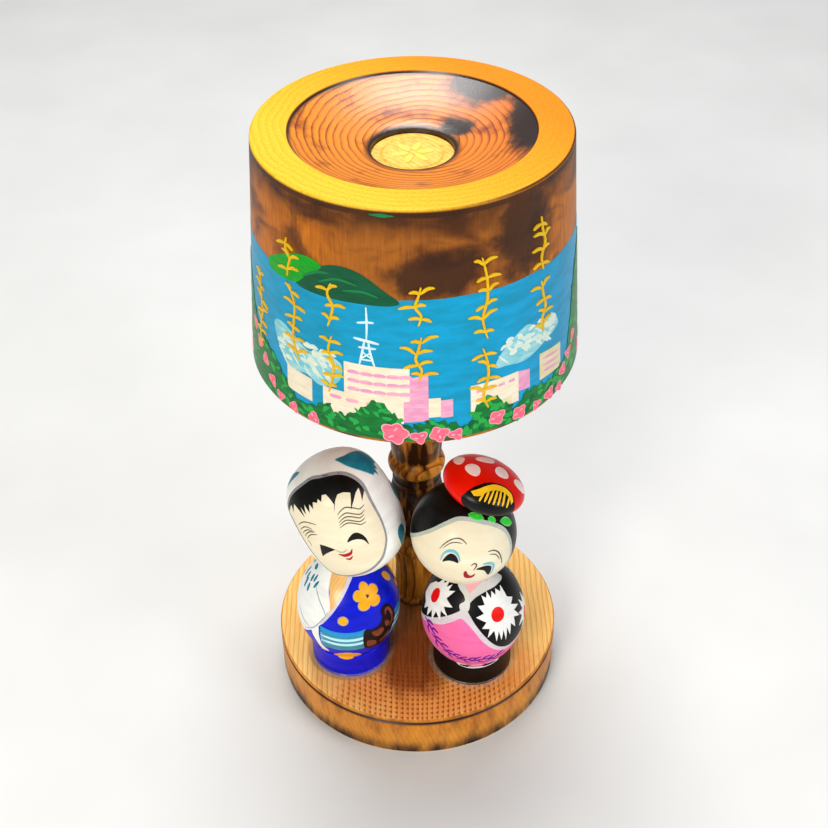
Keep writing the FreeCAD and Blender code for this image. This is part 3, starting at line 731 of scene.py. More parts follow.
# each cloud of steam has long wisps that rise through it and short curls over them
for left, right, low, high in ((-52, -28, 14.4, 20.6), (30, 55, 18.4, 23.6), (152, 179, 17.4, 22.2),
                               (-132, -108, 17.2, 21.2)):
    for k in range(14):
        angle, height = random.uniform(left, right), random.uniform(low, high - 1)
        reach, sway = random.uniform(1.6, 3.0), random.uniform(-0.5, 0.5)
        puffs.append(stroke(drum, (angle, height, 0.5 * reach, -0.5 * reach), (angle, height, sway, 0.0),
                            (angle, height, -0.5 * reach, 0.6 * reach), width=random.uniform(0.4, 0.8)))
    for k in range(34):
        angle, height = random.uniform(left, right), random.uniform(low, high)
        size, turn = random.uniform(0.9, 1.9), random.uniform(0.3, 1.5)
        puffs.append(stroke(drum, *[(angle, height, size * cos(turn + 0.8 * n),
                                     0.6 * size * sin(turn + 0.8 * n))
                                    for n in range(3)], width=random.uniform(0.7, 1.6)))
paint("mural_steam_curls", drum, puffs, 0.11, "white_paint", steam_pale)

cream_paint = enamel("cream_enamel", "#EFE6D0", "#E4D6B8", grain=1.0)
shadow_pink = enamel("shadow_pink_enamel", "#D98CB4", "#E8ACC4", grain=1.0)
straw_paint = enamel("straw_enamel", "#E4D9B8", "#D8C890", grain=1.0)


def straight(places, step=0.5, closed=True):
    """A line with sharp corners, its edges split into short steps."""
    edge = []
    for a, b in zip(places, places[1:] + (places[:1] if closed else [])):
        count = max(1, ceil((b - a).length / step))
        edge += [a.lerp(b, k / count) for k in range(count)]
    return edge


def block(skin, left, right, low, high, tilt=0.0):
    """The painted front of a building: four straight edges, a little off true as a brush leaves them."""
    return straight(on(skin, (left, low), (right, low + tilt * 0.6), (right, high + tilt), (left, high)),
                    1.2)


houses = [(-24, -2, 8.6, 20.6), (-32, -4, 6.0, 12.4, 0.3), (3, 8, 7.8, 12.8), (18, 36, 6.6, 14.6, -0.2),
          (-48, -36.5, 7.2, 13.4, -0.6), (112, 132, 8, 19.0), (132, 146, 8, 14.2), (185, 204, 7, 16.6),
          (-152, -138, 8, 18.4), (-100, -88, 10, 17.0)]
pink_walls = [(-2, 4, 9.4, 18.2, 1.0), (-4, 4, 6.6, 12.0, 0.6), (8, 12, 7.5, 12.1), (36, 41, 9.0, 14.3, -0.8),
              (132, 137, 8, 17.8, -0.8), (204, 209, 7, 15.8)]
straw_blocks = [(46, 58.5, 8.6, 15.6, -1.4), (24, 33, 5, 8.6)]
for name, walls, lift, finish in (("mural_blocks", houses, 0.13, cream_paint),
                                  ("mural_pink_walls", pink_walls, 0.15, shadow_pink),
                                  ("mural_straw_blocks", straw_blocks, 0.14, straw_paint)):
    paint(name, drum, [block(drum, *wall) for wall in walls], lift, "white_paint", finish, 1.5)
windows = [stroke(drum, (left, low), (left + 1.8, low + 0.1), (left + 3.6, low), width=0.95, ends=0.8)
           for low in (18.3, 16.1, 13.9) for left in (-22.4, -18, -13.6, -9.2, -5.2)]
windows += strokes(drum, [(0.95, (left, 10.6), (left + 3.6, 10.7)) for left in (-29, -23, -16)], 0.8)
windows += strokes(drum, [(0.7, (47.5, low), (52, low - 0.5), (57, low - 1.2)) for low in (13.8, 12.0, 10.4)])
windows += [block(drum, left, left + 2.4, 12.4, 13.1) for left in (20, 24, 28, 32)]
windows += [block(drum, left, left + 2.4, low, low + 0.7)
            for lows, lefts in (((12, 14.4, 16.8), (114, 119, 124)), ((10, 12.4, 14.4), (188, 193, 198)))
            for low in lows for left in lefts]
paint("mural_windows", drum, windows, 0.16, "white_paint", shadow_pink)

tower_white = enamel("tower_white_enamel", "#DFF1F2", "#B8DDE6", grain=0.8)
tower = [stroke(drum, (-16, 35.0), (-15.8, 31), (-16, 27), width=0.5, ends=0.5)]
tower += strokes(drum, [
    (0.6, (-19, 31.0), (-16, 31.4), (-13.6, 31.5)),
    (0.7, (-20.2, 27.1), (-16, 26.8), (-12, 26.4)),
    (0.6, (-18.6, 25.0), (-13, 25.1)),
    (0.55, (-16.6, 27.0), (-17.4, 24), (-18.6, 20.4)),
    (0.55, (-15.4, 27.0), (-14.8, 24), (-13.4, 20.6)),
    (0.35, (-17.6, 24.0), (-14.2, 22.4)),
    (0.35, (-14.6, 24.0), (-17.9, 22.2)),
    (0.4, (-18.2, 22.0), (-13.8, 22.0))], 0.6)
paint("mural_tower", drum, tower, 0.12, "white_paint", tower_white)

bush_dark = enamel("bush_green_enamel", "#067A30", "#056428", grain=0.9)
bush_light = enamel("bush_light_enamel", "#14983C", "#28A84A", grain=0.9)
random.seed(7)
bush_tops = [(-180, 12), (-171, 9), (-160, 11.5), (-149, 7), (-140, 9.6), (-131, 13), (-121, 9), (-111, 12),
             (-101, 19.5), (-92, 27), (-84, 29.2), (-78, 25), (-71, 17.6), (-64, 15), (-56, 13), (-50, 9.6),
             (-43, 5.4), (-35, 6.3), (-31, 8.1), (-26, 6.1), (-20, 8), (-13, 11.8), (-7, 8.5), (-3, 5.6),
             (5, 6.7), (13, 5.4), (17, 3.4), (20, 8.7), (25, 10.9), (30, 8), (35, 5), (39, 7.7), (45, 7.6),
             (51, 6.5), (57, 8), (62, 8.4), (66, 14), (70, 23), (75, 30), (84, 33.6), (93, 29), (99, 21),
             (106, 14), (116, 8), (126, 9.8), (136, 7), (147, 11), (158, 8), (169, 12.4), (180, 12)]
green_edge = flowing(on(drum, *bush_tops), False, 0.8)
leafy = [p + Vector((0, 0.45 * sin(p.x * 2.4) + 0.3 * sin(p.x * 5.1 + 1))) for p in green_edge]
halves = []
for left, right in ((-180, 0), (0, 180)):
    top = [p for p in leafy if radians(left) * drum.widest <= p.x <= radians(right) * drum.widest]
    foot = [Vector((top[-1].x + (top[0].x - top[-1].x) * k / 60, 0.0)) for k in range(61)]
    halves.append(top + foot)
paint("mural_bushes", drum, halves, 0.18, "blue_paint", bush_dark, 1.5)
dabs, deep_dabs = [], []
for k in range(420):
    place = leafy[random.randrange(len(leafy))]
    angle = degrees(place.x / drum.widest)
    height = low_round + random.uniform(0.06, 0.97) * place.y
    dab = oval(drum, angle, height, random.uniform(1.2, 2.6), random.uniform(0.7, 1.4),
               random.uniform(-60, 60), 3, 0.15, random.uniform(0, 120))
    (dabs if k % 3 else deep_dabs).append(dab)
paint("mural_leaf_dabs", drum, dabs, 0.21, "blue_paint", bush_light)
deep_green = enamel("deep_green_enamel", "#045228", "#06602E", grain=0.9)
paint("mural_deep_dabs", drum, deep_dabs, 0.20, "blue_paint", deep_green)

blossom_pink = enamel("azalea_pink_enamel", "#F45A78", "#F67488", grain=0.8)
blossom_pale = enamel("azalea_pale_enamel", "#F4B0BE", "#F09CAE", grain=0.8)
blossoms = [(-62, 9.0, 3.4), (-57, 5.4, 3.2), (-52, 3.0, 2.6), (-45, 2.6, 3.0), (-36, 2.6, 3.2),
            (-7, 3.6, 5.4), (1, 2.6, 3.4), (7, 3.2, 4.0), (13, 2.6, 3.2), (27, 4.4, 3.8), (36, 3.2, 3.6),
            (44, 2.6, 2.6), (51, 3.0, 3.4), (57, 2.4, 2.8), (60, 6.0, 3.4), (65, 8.4, 3.0), (70, 11.4, 3.2),
            (-67, 12.0, 3.2), (-72, 15.0, 3.0)]
for k in range(30):
    blossoms.append((78 + k * 7.0 + random.uniform(-2, 2), 2.6 + random.uniform(0, 6.5),
                     random.uniform(2.6, 4.4)))


def petals(angle, height, size, share):
    """Three to five loose dabs round a middle one, as a loaded brush makes an azalea."""
    count = 3 + round(size) % 3
    low = max(height, 0.4 + 0.56 * size)
    dabs = [oval(drum, angle, low, size * 0.66 * share, size * 0.58 * share, 40 * angle)]
    for k in range(count):
        way = 7 * angle + 2 * pi * k / count
        out = size * (0.24 + 0.05 * sin(5 * way))
        dabs.append(oval(drum, angle + degrees(out * cos(way) / drum.widest), low + 0.85 * out * sin(way),
                         size * (0.60 + 0.08 * sin(3 * way)) * share, size * 0.54 * share, degrees(way), 3,
                         0.06))
    return dabs


paint("mural_blossom_edges", drum, sum([petals(*b, 1.14) for b in blossoms], []), 0.24, "red_paint",
      blossom_pale)
paint("mural_blossoms", drum, sum([petals(*b, 0.96) for b in blossoms], []), 0.27, "red_paint",
      blossom_pink)
hearts = []
for angle, height, size in blossoms:
    low = max(height, 0.4 + 0.56 * size)
    for way in (7 * angle, 7 * angle + 2.6):
        hearts.append(stroke(drum, (angle, low, 0.36 * size * cos(way), 0.32 * size * sin(way)),
                             (angle, low, 0.12 * size * cos(way + 0.5), 0.12 * size * sin(way + 0.5)),
                             width=0.5))
paint("mural_blossom_hearts", drum, hearts, 0.29, "red_paint", blossom_pale)

gold_paint = enamel("gold_ochre_enamel", "#D8A806", "#E4BC14", grain=0.7)


def sprig(skin, angle, top, bottom, reach=3.0, width=0.62, lean=0.0):
    """A leafy sprig down the drum: a swaying stem with brushed leaves to each side."""
    length, shapes = top - bottom, []
    sway = [(angle + lean * k / 4 + 1.1 * sin(k * 2.1 + angle), top - length * k / 4) for k in range(5)]
    shapes.append(stroke(skin, *sway, width=width, ends=0.5))
    count = max(2, round(length / 3.1))
    for k in range(count):
        share = (k + 0.5) / count
        height = top - length * share
        root = angle + lean * share + 1.1 * sin(share * 8.4 + angle)
        for way in (-1, 1):
            long = reach * random.uniform(0.55, 1.2)
            rise = random.uniform(-0.3, 1.5)
            shapes.append(stroke(skin, (root, height, 0, 0), (root, height, way * long * 0.5, rise),
                                 (root, height, way * long, rise * 1.5 - 0.5), width=width * 1.25,
                                 ends=0.3))
    return shapes


columns = []
for angle, top, bottom, lean in ((48, 49.5, 37, 0), (48, 34, 21, 0), (23.5, 45.5, 26, 0),
                                 (23.5, 23.5, 8, 0), (1, 40.5, 31.5, 0), (1, 28.5, 17.5, 0),
                                 (-28.5, 39, 28.5, 0), (-28.5, 26, 11.5, 0), (-47, 45.5, 36.5, 1),
                                 (-45, 34.5, 16.5, 2), (-65, 31.5, 11, 0)):
    columns += sprig(drum, angle, top, bottom, lean=lean)
paint("mural_gold_sprigs", drum, columns, 0.31, "white_paint", gold_paint)
paint("rim_paint_spot", drum, [oval(drum, -10.5, 56.6, 4.6, 0.7, 0, 4, 0.12)], 0.05, "blue_paint",
      ridge_green)

# a plain six-petalled rosette stands in low relief on the disc in the dish
disc = Skin(plug_form, [(9.1, 4.0), (0, 4.0)], crown=True)
rosette = []
for k in range(6):
    turn = k * pi / 3 + 0.2
    along, across = Vector((cos(turn), sin(turn))), Vector((-sin(turn), cos(turn)))
    rosette.append([along * (2.9 + 1.9 * cos(pi * n / 12)) + across * 0.8 * sin(pi * n / 12)
                    for n in range(24)])
disc_gold = enamel("disc_gilt_enamel", "#FFD868", "#F8C850", grain=0.8)
paint("disc_rosette", disc, rosette, 0.18, "plug_wood", disc_gold, 0.6)

# ================================================================ what fixes the dolls
# Each doll stands on the base in a bead of clear glue, with a wire nail driven up into its foot.  A dowel
# peg glued into the body is the pin that its head turns on, and a shorter dowel pins the bun.

# Bare birch dowel: pale, close grained, waxed by handling.
peg_finish, tree, skin, mm = new_finish("birch_dowel", 0.55)
grain, part = grown(tree, mm, (-40.0, 12.0, 0.0), (1.0, 1.0, 0.0), 0.7, 0.6, "#E8C690", "#DDB87E",
                    "#C89C60")
dress(tree, skin, grain, part, 0.03)

# Bright drawn steel wire with the scratches of the drawing die.
nail_finish, tree, skin, mm = new_finish("drawn_steel_wire", 0.32, Metallic=1.0)
drawn = streaks(tree, mm, (9.0, 9.0, 0.4), Detail=3.0)
dress(tree, skin, layered(tree, "#B9BBBE", (drawn, "#8E9094")), drawn, 0.02)

# Clear hide glue: a yellowish, slightly rippled glassy fillet.
glue_finish, tree, skin, mm = new_finish("clear_glue", 0.16, Alpha=0.10, Specular_IOR_Level=0.8)
ripple = add(tree, "TexNoise", mm, Scale=1 / 1.6, Detail=2.0)
dress(tree, skin, layered(tree, "#FFF6E0", (ripple, "#F2DDB4")), ripple, 0.2)

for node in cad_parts:
    for ending, finish in (("_peg", peg_finish), ("_dowel", peg_finish), ("_nail", nail_finish),
                           ("_glue_bead", glue_finish)):
        if node.endswith(ending):
            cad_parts[node].data.materials.clear()
            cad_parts[node].data.materials.append(finish)

# ================================================================ the dolls' bodies
# Both are turned alike from close-grained wood: a short round foot, an egg above it and a neck.  They were
# dipped in enamel, one royal blue and one black, and their kimonos painted on top.


def upright_rise(drop, run):
    """The rise of an arc that ends upright after run, with its other end drop further in."""
    radius = (run * run + drop * drop) / (2 * drop)
    return radius * (1 - cos(atan2(drop, run)))


left_x, left_y, right_x, right_y = -18.1, -13.1, 14.5, -16.5
body_skin = [(10.4, 0), (10.4, 7.5), (10.1, 7.9, 0.1), (13.5, 18.3, upright_rise(3.4, 10.4)),
             (4.6, 33.6, upright_rise(8.9, 15.3)), (4.6, 34.2)]
body_outline = [(0, 8), (0.9, 7.1), (0.9, 0)] + body_skin + [(2.0, 34.2), (2.0, 25.2), (0, 25.2)]
left_form = Turned(body_outline, (left_x, left_y, 14))
right_form = Turned(body_outline, (right_x, right_y, 14))

blue_enamel = enamel("royal_blue_enamel", "#0218D8", "#0210B4", roughness=0.4, coat=0.14, grain=2.0)
black_enamel = enamel("black_enamel", "#030303", "#080708", roughness=0.46, coat=0.07, grain=2.0)
white_enamel = enamel("white_enamel", "#F4F6F2", "#E8EAE8", grain=1.6)
fit(left_form.mesh("left_body_turned", 192), "stand", "blue_paint", blue_enamel, "left_body")
fit(right_form.mesh("right_body_turned", 192), "stand", "black_paint", black_enamel, "right_body")

# ---- the kimono in blue: a white shawl over one shoulder, a grey-white collar, a striped sash and flowers
gown = Skin(left_form, body_skin)
# Bare lacquered wood shows at the throat.
throat_finish, tree, skin, mm = new_finish("bare_throat_wood", 0.4, Coat_Weight=0.3, Coat_Roughness=0.15)
grain, part = grown(tree, mm, (-60.0, 20.0, 0.0), (1.0, 1.0, 0.0), 0.9, 1.0, "#E8B566", "#E4AF60",
                    "#DCA454")
dress(tree, skin, grain, part, 0.02)
paint("left_throat", gown, [patch(gown, (-50, 33.6), (-28, 30.2), (-21, 25.8), (-12, 28.6), (0, 32),
                                  (12, 33.6), (-20, 34.1))], 0.04, "peg_wood", throat_finish)
shawl = patch(gown, (-48, 33.9), (-30, 30.4), (-21, 26.4), (-24, 25.0), (-34, 20.7), (-48, 17.4),
              (-66, 14.5), (-88, 13.4), (-112, 13.6), (-138, 15.6), (-162, 19.6), (-180, 25), (-190, 31),
              (-192, 34), (-150, 34.1), (-100, 34.1))
shawl_knot = patch(gown, (-34, 20.9), (-33, 17.6), (-31, 13.8), (-25, 11.2), (-33, 10.9), (-38, 14.4),
                   (-43, 18.8))
paint("left_shawl", gown, [shawl, shawl_knot], 0.10, "white_paint", white_enamel)
lilac_white = enamel("lilac_white_enamel", "#D4CFDA", "#C6C2D0", grain=1.0)
paint("left_collar", gown, [patch(gown, (14, 33.9), (0, 32.2), (-10, 29.6), (-17, 27.2), (-23, 25.4),
                                  (-31, 23.2), (-31, 21.8), (-19, 25.3), (-11, 27.8), (-2, 30.2), (8, 32.0),
                                  (20, 33.4))],
      0.12, "white_paint", lilac_white)
fold_grey = enamel("fold_grey_enamel", "#A9B4BC", "#98A4AE", grain=0.8)
paint("left_shawl_folds", gown, strokes(gown, [
    (0.35, (-56, 29.8), (-43, 28.3), (-31, 26.4), (-25, 24.8)),
    (0.32, (-22, 26.2), (-30, 23.2), (-40, 19.8), (-56, 16.8)),
    (0.3, (-70, 22.0), (-58, 19.8), (-46, 18.8)),
    (0.32, (-112, 22), (-96, 18.8), (-84, 17.2)),
    (0.35, (-150, 29), (-138, 25), (-120, 21.6)),
    (0.3, (-170, 30), (-158, 26), (-144, 22.8))]), 0.13, "white_paint", fold_grey)
teal_paint = enamel("teal_enamel", "#1E86A0", "#0F6C84", grain=0.9)
dashes = [((-100, 29.6), (-94, 27.8)), ((-81, 28.9), (-77, 27.0)), ((-68, 31.2), (-65, 30.0)),
          ((-56, 30.6), (-58, 29.2)), ((-96, 31.4), (-84, 31.3)), ((-88, 29.7), (-84, 28.4)),
          ((-76, 30.6), (-71, 29.4)), ((-70, 28.8), (-66, 27.4)), ((-110, 26.4), (-104, 24.6)),
          ((-130, 28), (-124, 26.2)), ((-142, 24.8), (-136, 23)), ((-118, 30.8), (-110, 30)),
          ((-160, 28.6), (-153, 27.2)), ((-122, 20), (-116, 18.6)), ((-146, 31.6), (-138, 31))]
paint("left_shawl_dashes", gown, strokes(gown, [(1.15, *d) for d in dashes], 0.6), 0.13, "blue_paint",
      teal_paint)

sash_blue = enamel("sash_sky_enamel", "#1C86C8", "#2698D4", grain=0.8)
sash_pale = enamel("sash_pale_enamel", "#C4F0F8", "#A8E4F0", grain=0.8)
sash_teal = enamel("sash_teal_enamel", "#2E7C94", "#4492A8", grain=0.8)
stripes = [(20.9, 19.5, sash_blue, "sky"), (19.5, 18.7, sash_teal, "teal_top"),
           (18.7, 17.7, sash_pale, "pale_high"), (17.7, 16.9, sash_teal, "teal_high"),
           (16.9, 15.9, sash_pale, "pale_low"), (15.9, 13.7, sash_teal, "teal_low")]
for high, low, finish, tag in stripes:
    upper = [(-31 + 52 * k / 6, high + 0.55 * ((k - 3.4) / 3) ** 2 - 0.2) for k in range(7)]
    lower = [(21 - 52 * k / 6, low + 0.4 * ((k - 2.6) / 3) ** 2 - 0.2 - (0.5 if k == 6 else 0))
             for k in range(7)]
    around = [(42 + 210 * k / 9, high) for k in range(10)] + [(252 - 210 * k / 9, low) for k in range(10)]
    shapes = [between(gown, upper, lower), between(gown, around[:10], around[10:])]
    paint(f"left_sash_{tag}", gown, shapes, 0.07, "blue_paint", finish)

bow_black = enamel("bow_black_enamel", "#120A08", "#1E120E", grain=0.9)
paint("left_sash_bow", gown, [
    patch(gown, (20, 20.8), (28, 20.4), (36, 20.4), (43, 21.9), (44, 24.2), (54, 25.0), (62, 22.6),
          (64, 19.6), (58, 16.6), (49, 14.0), (42, 11.8), (35, 12.4), (28, 12.6), (20, 13.6))],
      0.10, "black_paint", bow_black)
bow_brown = enamel("bow_russet_enamel", "#8A4634", "#6E3226", grain=0.8)
paint("left_bow_folds", gown, [
    patch(gown, (28, 19.3), (35, 19.3), (42, 19.2), (43, 17.8), (37, 16.9), (31, 17.6)),
    patch(gown, (22, 16.6), (27, 16.5), (33, 15.2), (34, 13.6), (28, 13.5), (22.5, 14.4)),
    stroke(gown, (49, 22.4), (51, 23.6), (55, 23.4), (58, 21.4), (57, 19), (52, 17.6), width=0.9),
    stroke(gown, (38, 14.2), (45, 14.6), (52, 16.4), width=0.8),
    patch(gown, (46, 20.6), (50, 20.4), (53, 18.9), (48, 18.4))], 0.12, "red_paint", bow_brown)
paint("left_bow_back", gown, [
    patch(gown, (150, 21.8), (162, 23.2), (176, 20.6), (190, 23.2), (202, 21.8), (202, 14.6), (190, 13),
          (176, 15.6), (162, 13), (150, 14.6))], 0.10, "red_paint", bow_brown)
paint("left_bow_knot", gown, [patch(gown, (170, 20.4), (182, 20.4), (182, 15.6), (170, 15.6))], 0.13,
      "black_paint", bow_black)

yellow_paint = enamel("marigold_enamel", "#F0A008", "#F6B016", grain=0.8)
pale_edge = enamel("flower_edge_enamel", "#B09A78", "#C0AA84", grain=0.8)


def flower(skin, angle, height, size, turn):
    """Five round petals, as one lobed outline with a notch between each two."""
    edge = []
    for k in range(70):
        t = 2 * pi * k / 70
        reach = size / 2 * (0.66 + 0.36 * abs(cos(2.5 * t)) ** 0.7)
        edge.append(skin.spot(angle, height, reach * cos(t + radians(turn)),
                              reach * sin(t + radians(turn))))
    return edge


flowers = [(33, 29.0, 7.2, 18), (120, 26.6, 6.6, 50), (158, 29.2, 5.6, 10)]
paint("left_flower_edges", gown, [flower(gown, a, h, s + 0.55, t) for a, h, s, t in flowers] + [
    oval(gown, -4, 24.2, 2.8, 2.7)], 0.08, "white_paint", pale_edge)
paint("left_flowers", gown, [flower(gown, *f) for f in flowers] + [
    oval(gown, -4, 24.2, 2.1, 2.0), oval(gown, 85, 28.6, 2.4, 3.6, 20), oval(gown, 96, 24.0, 2.2, 2.2),
    oval(gown, 140, 23.8, 2.2, 2.2),
    patch(gown, (-22, 8.6), (-12, 11.0), (-1, 12.0), (9, 11.2), (17, 9.5), (9, 7.9), (-2, 7.2), (-13, 7.5)),
    patch(gown, (-38, 10.4), (-31, 11.4), (-27, 11.0), (-31, 10.3)),
    oval(gown, 96, 9.4, 5.4, 2.2), oval(gown, 190, 9.4, 5.4, 2.2), oval(gown, -100, 9.6, 5.4, 2.2)], 0.11,
      "white_paint", yellow_paint)
paint("left_flower_hearts", gown, [oval(gown, a, h, 0.8, 0.9, 0, 3, 0.2) for a, h, s, t in flowers], 0.13,
      "black_paint", bow_black)

# ---- the kimono in black: a rose apron with a pale edge, a pale crossed collar, and white burst flowers
robe = Skin(right_form, body_skin)
rose_paint = enamel("rose_pink_enamel", "#F264A0", "#EE70A8", grain=1.6)
pale_paint = enamel("pale_grey_enamel", "#DCCED6", "#CCC2CA", grain=1.0)
apron_top = [(-112, 17.2), (-87, 18.9), (-72, 20.8), (-52, 23.8), (-34, 26.5), (-24, 27.9), (-15, 28.9),
             (-9, 28.0), (-1, 25.8), (10, 22.3), (20, 19.0), (30, 16.7), (42, 15.3), (56, 15.4), (78, 16.4),
             (112, 17.2)]
apron_low = [(112, 13.4), (84, 12.4), (64, 10.2), (50, 8.4), (30, 7.3), (8, 6.9), (-14, 7.1), (-32, 8.3),
             (-50, 10.6), (-66, 12.6), (-84, 13.6), (-112, 13.4)]
rose_top = [(-112, 16.4), (-76, 18.7), (-58, 21.2), (-42, 23.1), (-28, 25.3), (-18, 26.6), (-12, 26.0),
            (-3, 24.2), (8, 20.6), (18, 17.6), (29, 15.4), (42, 14.1), (60, 14.2), (84, 15.4), (112, 16.4)]
rose_low = [(112, 14.2), (84, 13.4), (62, 11.2), (48, 9.3), (30, 8.1), (8, 7.7), (-14, 7.9), (-31, 9.1),
            (-48, 11.4), (-66, 13.5), (-84, 14.4), (-112, 14.2)]
back_angles = (110, 145, 180, 215, 250)
for name, front, heights, lift, slot, finish in (
        ("right_apron_edge", (apron_top, apron_low), (17.2, 17, 17.4, 17, 17.2, 13.4, 13.2, 13.4, 13.2, 13.4),
         0.05, "white_paint", pale_paint),
        ("right_apron", (rose_top, rose_low), (16.4, 16.2, 16.6, 16.2, 16.4, 14.2, 14, 14.2, 14, 14.2),
         0.08, "red_paint", rose_paint)):
    back = list(zip(back_angles + back_angles[::-1], heights))
    paint(name, robe, [between(robe, *front), between(robe, back[:5], back[5:])], lift, slot, finish)
neck_pink = enamel("neck_pink_enamel", "#EAA0A6", "#E8AEB0", grain=1.2)
paint("right_throat", robe, [patch(robe, (-48, 33.9), (-30, 32.8), (-18, 31.6), (-11, 30.8), (2, 31.6),
                                   (20, 32.4), (46, 33.8), (0, 34.1))], 0.06, "face_paint", neck_pink)
collar_grey = enamel("collar_grey_enamel", "#C2C4BE", "#D2D0CC", grain=1.0)
paint("right_collar", robe, [
    patch(robe, (-54, 33.2), (-36, 32.2), (-20, 31.2), (-17, 30.4), (-24, 29.4), (-18, 27.9), (-9, 28.7),
          (-10, 31.2), (-16, 32.2), (-32, 33.4)),
    patch(robe, (80, 32.0), (52, 31.9), (24, 31.9), (2, 31.2), (-12, 30.0), (-14, 31.2), (-2, 32.4),
          (16, 33.2), (44, 33.8), (74, 33.6))], 0.10, "white_paint", collar_grey)
burst_white = enamel("burst_white_enamel", "#F4F3EE", "#E8E8E6", grain=1.0)


def burst(skin, angle, height, wide, high, rays, turn, deep=0.42):
    """A chrysanthemum of ragged brush strokes: long and short points by turns."""
    edge = []
    for k in range(rays * 2):
        t = radians(turn + 180 * k / rays)
        reach = random.uniform(0.88, 1.08) if k % 2 else random.uniform(deep, deep + 0.2)
        edge.append(skin.spot(angle, height, wide / 2 * reach * cos(t), high / 2 * reach * sin(t)))
    return straight(edge)


random.seed(11)
front_left = straight(on(robe, (-90, 25.0), (-93, 27.4), (-87, 29.4), (-80, 30.0), (-78, 31.6), (-70, 31.0),
                               (-65, 32.2), (-60, 31.0), (-53, 32.0), (-52, 30.8), (-40, 31.4), (-48, 29.4),
                               (-33, 28.4), (-46, 27.6), (-36, 25.9), (-48, 26.4), (-44, 24.0), (-54, 25.4),
                               (-56, 22.6), (-61, 24.8), (-66, 22.0), (-69, 24.4), (-76, 22.4),
                               (-78, 24.2)))
front_right = straight(on(robe, (24, 31.9), (28, 30.4), (34, 31.6), (38, 30.6), (44, 31.6), (50, 30.6),
                                (58, 31.4), (55, 29.0), (64, 27.8), (55, 27.0), (67, 25.2), (56, 25.2),
                                (63, 22.4), (52, 23.8), (51, 20.8), (45, 22.9), (42, 19.6), (38.5, 22.6),
                                (36, 18.6), (33.5, 22.4), (30, 19.4), (27.5, 22.6), (24, 19.6), (22, 23.2),
                                (14, 21.6), (17, 24.0), (8, 24.4), (14, 25.8), (1, 27.2), (12, 27.9),
                                (4, 29.6), (15, 29.6), (12, 31.4), (20, 30.8)))
bursts = [front_left, front_right, burst(robe, 79, 20.4, 9, 11.5, 9, 10),
          burst(robe, 125, 26.4, 8.4, 9, 9, 4), burst(robe, 170, 25.2, 8.6, 9, 9, 22),
          burst(robe, 214, 27, 8, 8.4, 9, 40)]
paint("right_bursts", robe, bursts, 0.12, "white_paint", burst_white)
red_paint = enamel("vermilion_enamel", "#EE1602", "#DE0E01", roughness=0.34, grain=1.4)
paint("right_burst_hearts", robe, [oval(robe, -68, 28.0, 3.0, 4.0, 8), oval(robe, 30.5, 26.8, 3.7, 4.0, -4),
                                   oval(robe, 80, 19.6, 2.8, 3.8), oval(robe, 125, 26.4, 2.8, 3.4),
                                   oval(robe, 170, 25.2, 2.8, 3.4), oval(robe, 214, 27, 2.6, 3.2)],
      0.15, "red_paint", red_paint)
violet_paint = enamel("violet_enamel", "#68129A", "#560E90", grain=0.7)
sprigs = []
for angle, height, lean, size in ((-57, 19.6, -30, 3.8), (-43, 16.6, -36, 3.6), (-27, 13.9, -20, 3.2),
                                  (-9, 12.6, -4, 3.4), (8, 12.6, 4, 3.6), (26, 12.3, 16, 3.6)):
    tip = radians(lean)
    for x0, y0, x1, y1, x2, y2 in ((-1.1, -0.1, 0, 0.15, 1.1, 0.0), (-0.7, 0.05, -0.5, 0.5, 0.0, 0.75),
                                   (0.2, 0.1, 0.35, 0.55, 0.9, 0.7), (-0.3, 0.0, -0.1, -0.45, 0.35, -0.7)):
        points = [(angle, height, (x * cos(tip) - y * sin(tip)) * size * 0.72,
                   (x * sin(tip) + y * cos(tip)) * size * 0.72) for x, y in ((x0, y0), (x1, y1), (x2, y2))]
        sprigs.append(stroke(robe, *points, width=0.66, ends=0.5))
paint("right_apron_sprigs", robe, sprigs, 0.10, "red_paint", violet_paint)

# ================================================================ the doll in the kerchief: her head
# A turned ball-ended drum on the neck peg, dipped in white enamel that stands for a cotton kerchief.  Her
# cream face is painted into it inside a grey hem line, with a black fringe, fine brow lines, and teal dabs
# on the cloth.  The whole head turns on the peg.

neck_seat = 48.3  # the height on which both heads sit on their bodies' necks
crown_rise = upright_rise(1.2, 7.0)
head_skin = [(0, -15.9), (7.0, -14.7, crown_rise), (12.2, -8.4, 1.06), (12.2, 8.4, 0.9),
             (7.0, 14.7, 1.06), (0, 15.9, crown_rise)]
left_head_form = Turned(head_skin, (-17.3, -13.1, 64.7), (tan(radians(-22)), tan(radians(7)), 1))
kerchief_white = enamel("kerchief_white_enamel", "#FAFCF6", "#EEF0EA", roughness=0.42, coat=0.14, grain=2.4)
fit(left_head_form.mesh("left_head_turned", 192, neck_seat), "left_head", "white_paint", kerchief_white,
    "left_head")

cloth = Skin(left_head_form, head_skin, "left_head", crown=True)
hem = [(0, 15.3), (28, 15.1), (48, 14.3), (54, 11.2), (50, 6), (48, -1), (44, -5), (32, -8.8), (14, -10.8),
       (-6, -11.3), (-28, -11), (-43, -9), (-48, -3), (-52, 3), (-58, 6.6), (-67, 9), (-64, 12),
       (-47, 14.6), (-26, 15.3)]
hem_line = on(cloth, *hem)
face_cream = enamel("face_cream_enamel", "#EFE6CA", "#E8DCBC", roughness=0.42, coat=0.12, grain=3.0)
paint("left_face", cloth, [flowing(hem_line, True)], 0.07, "face_paint", face_cream)
hem_grey = enamel("hem_grey_enamel", "#8E8E92", "#9C9C9C", grain=1.0)


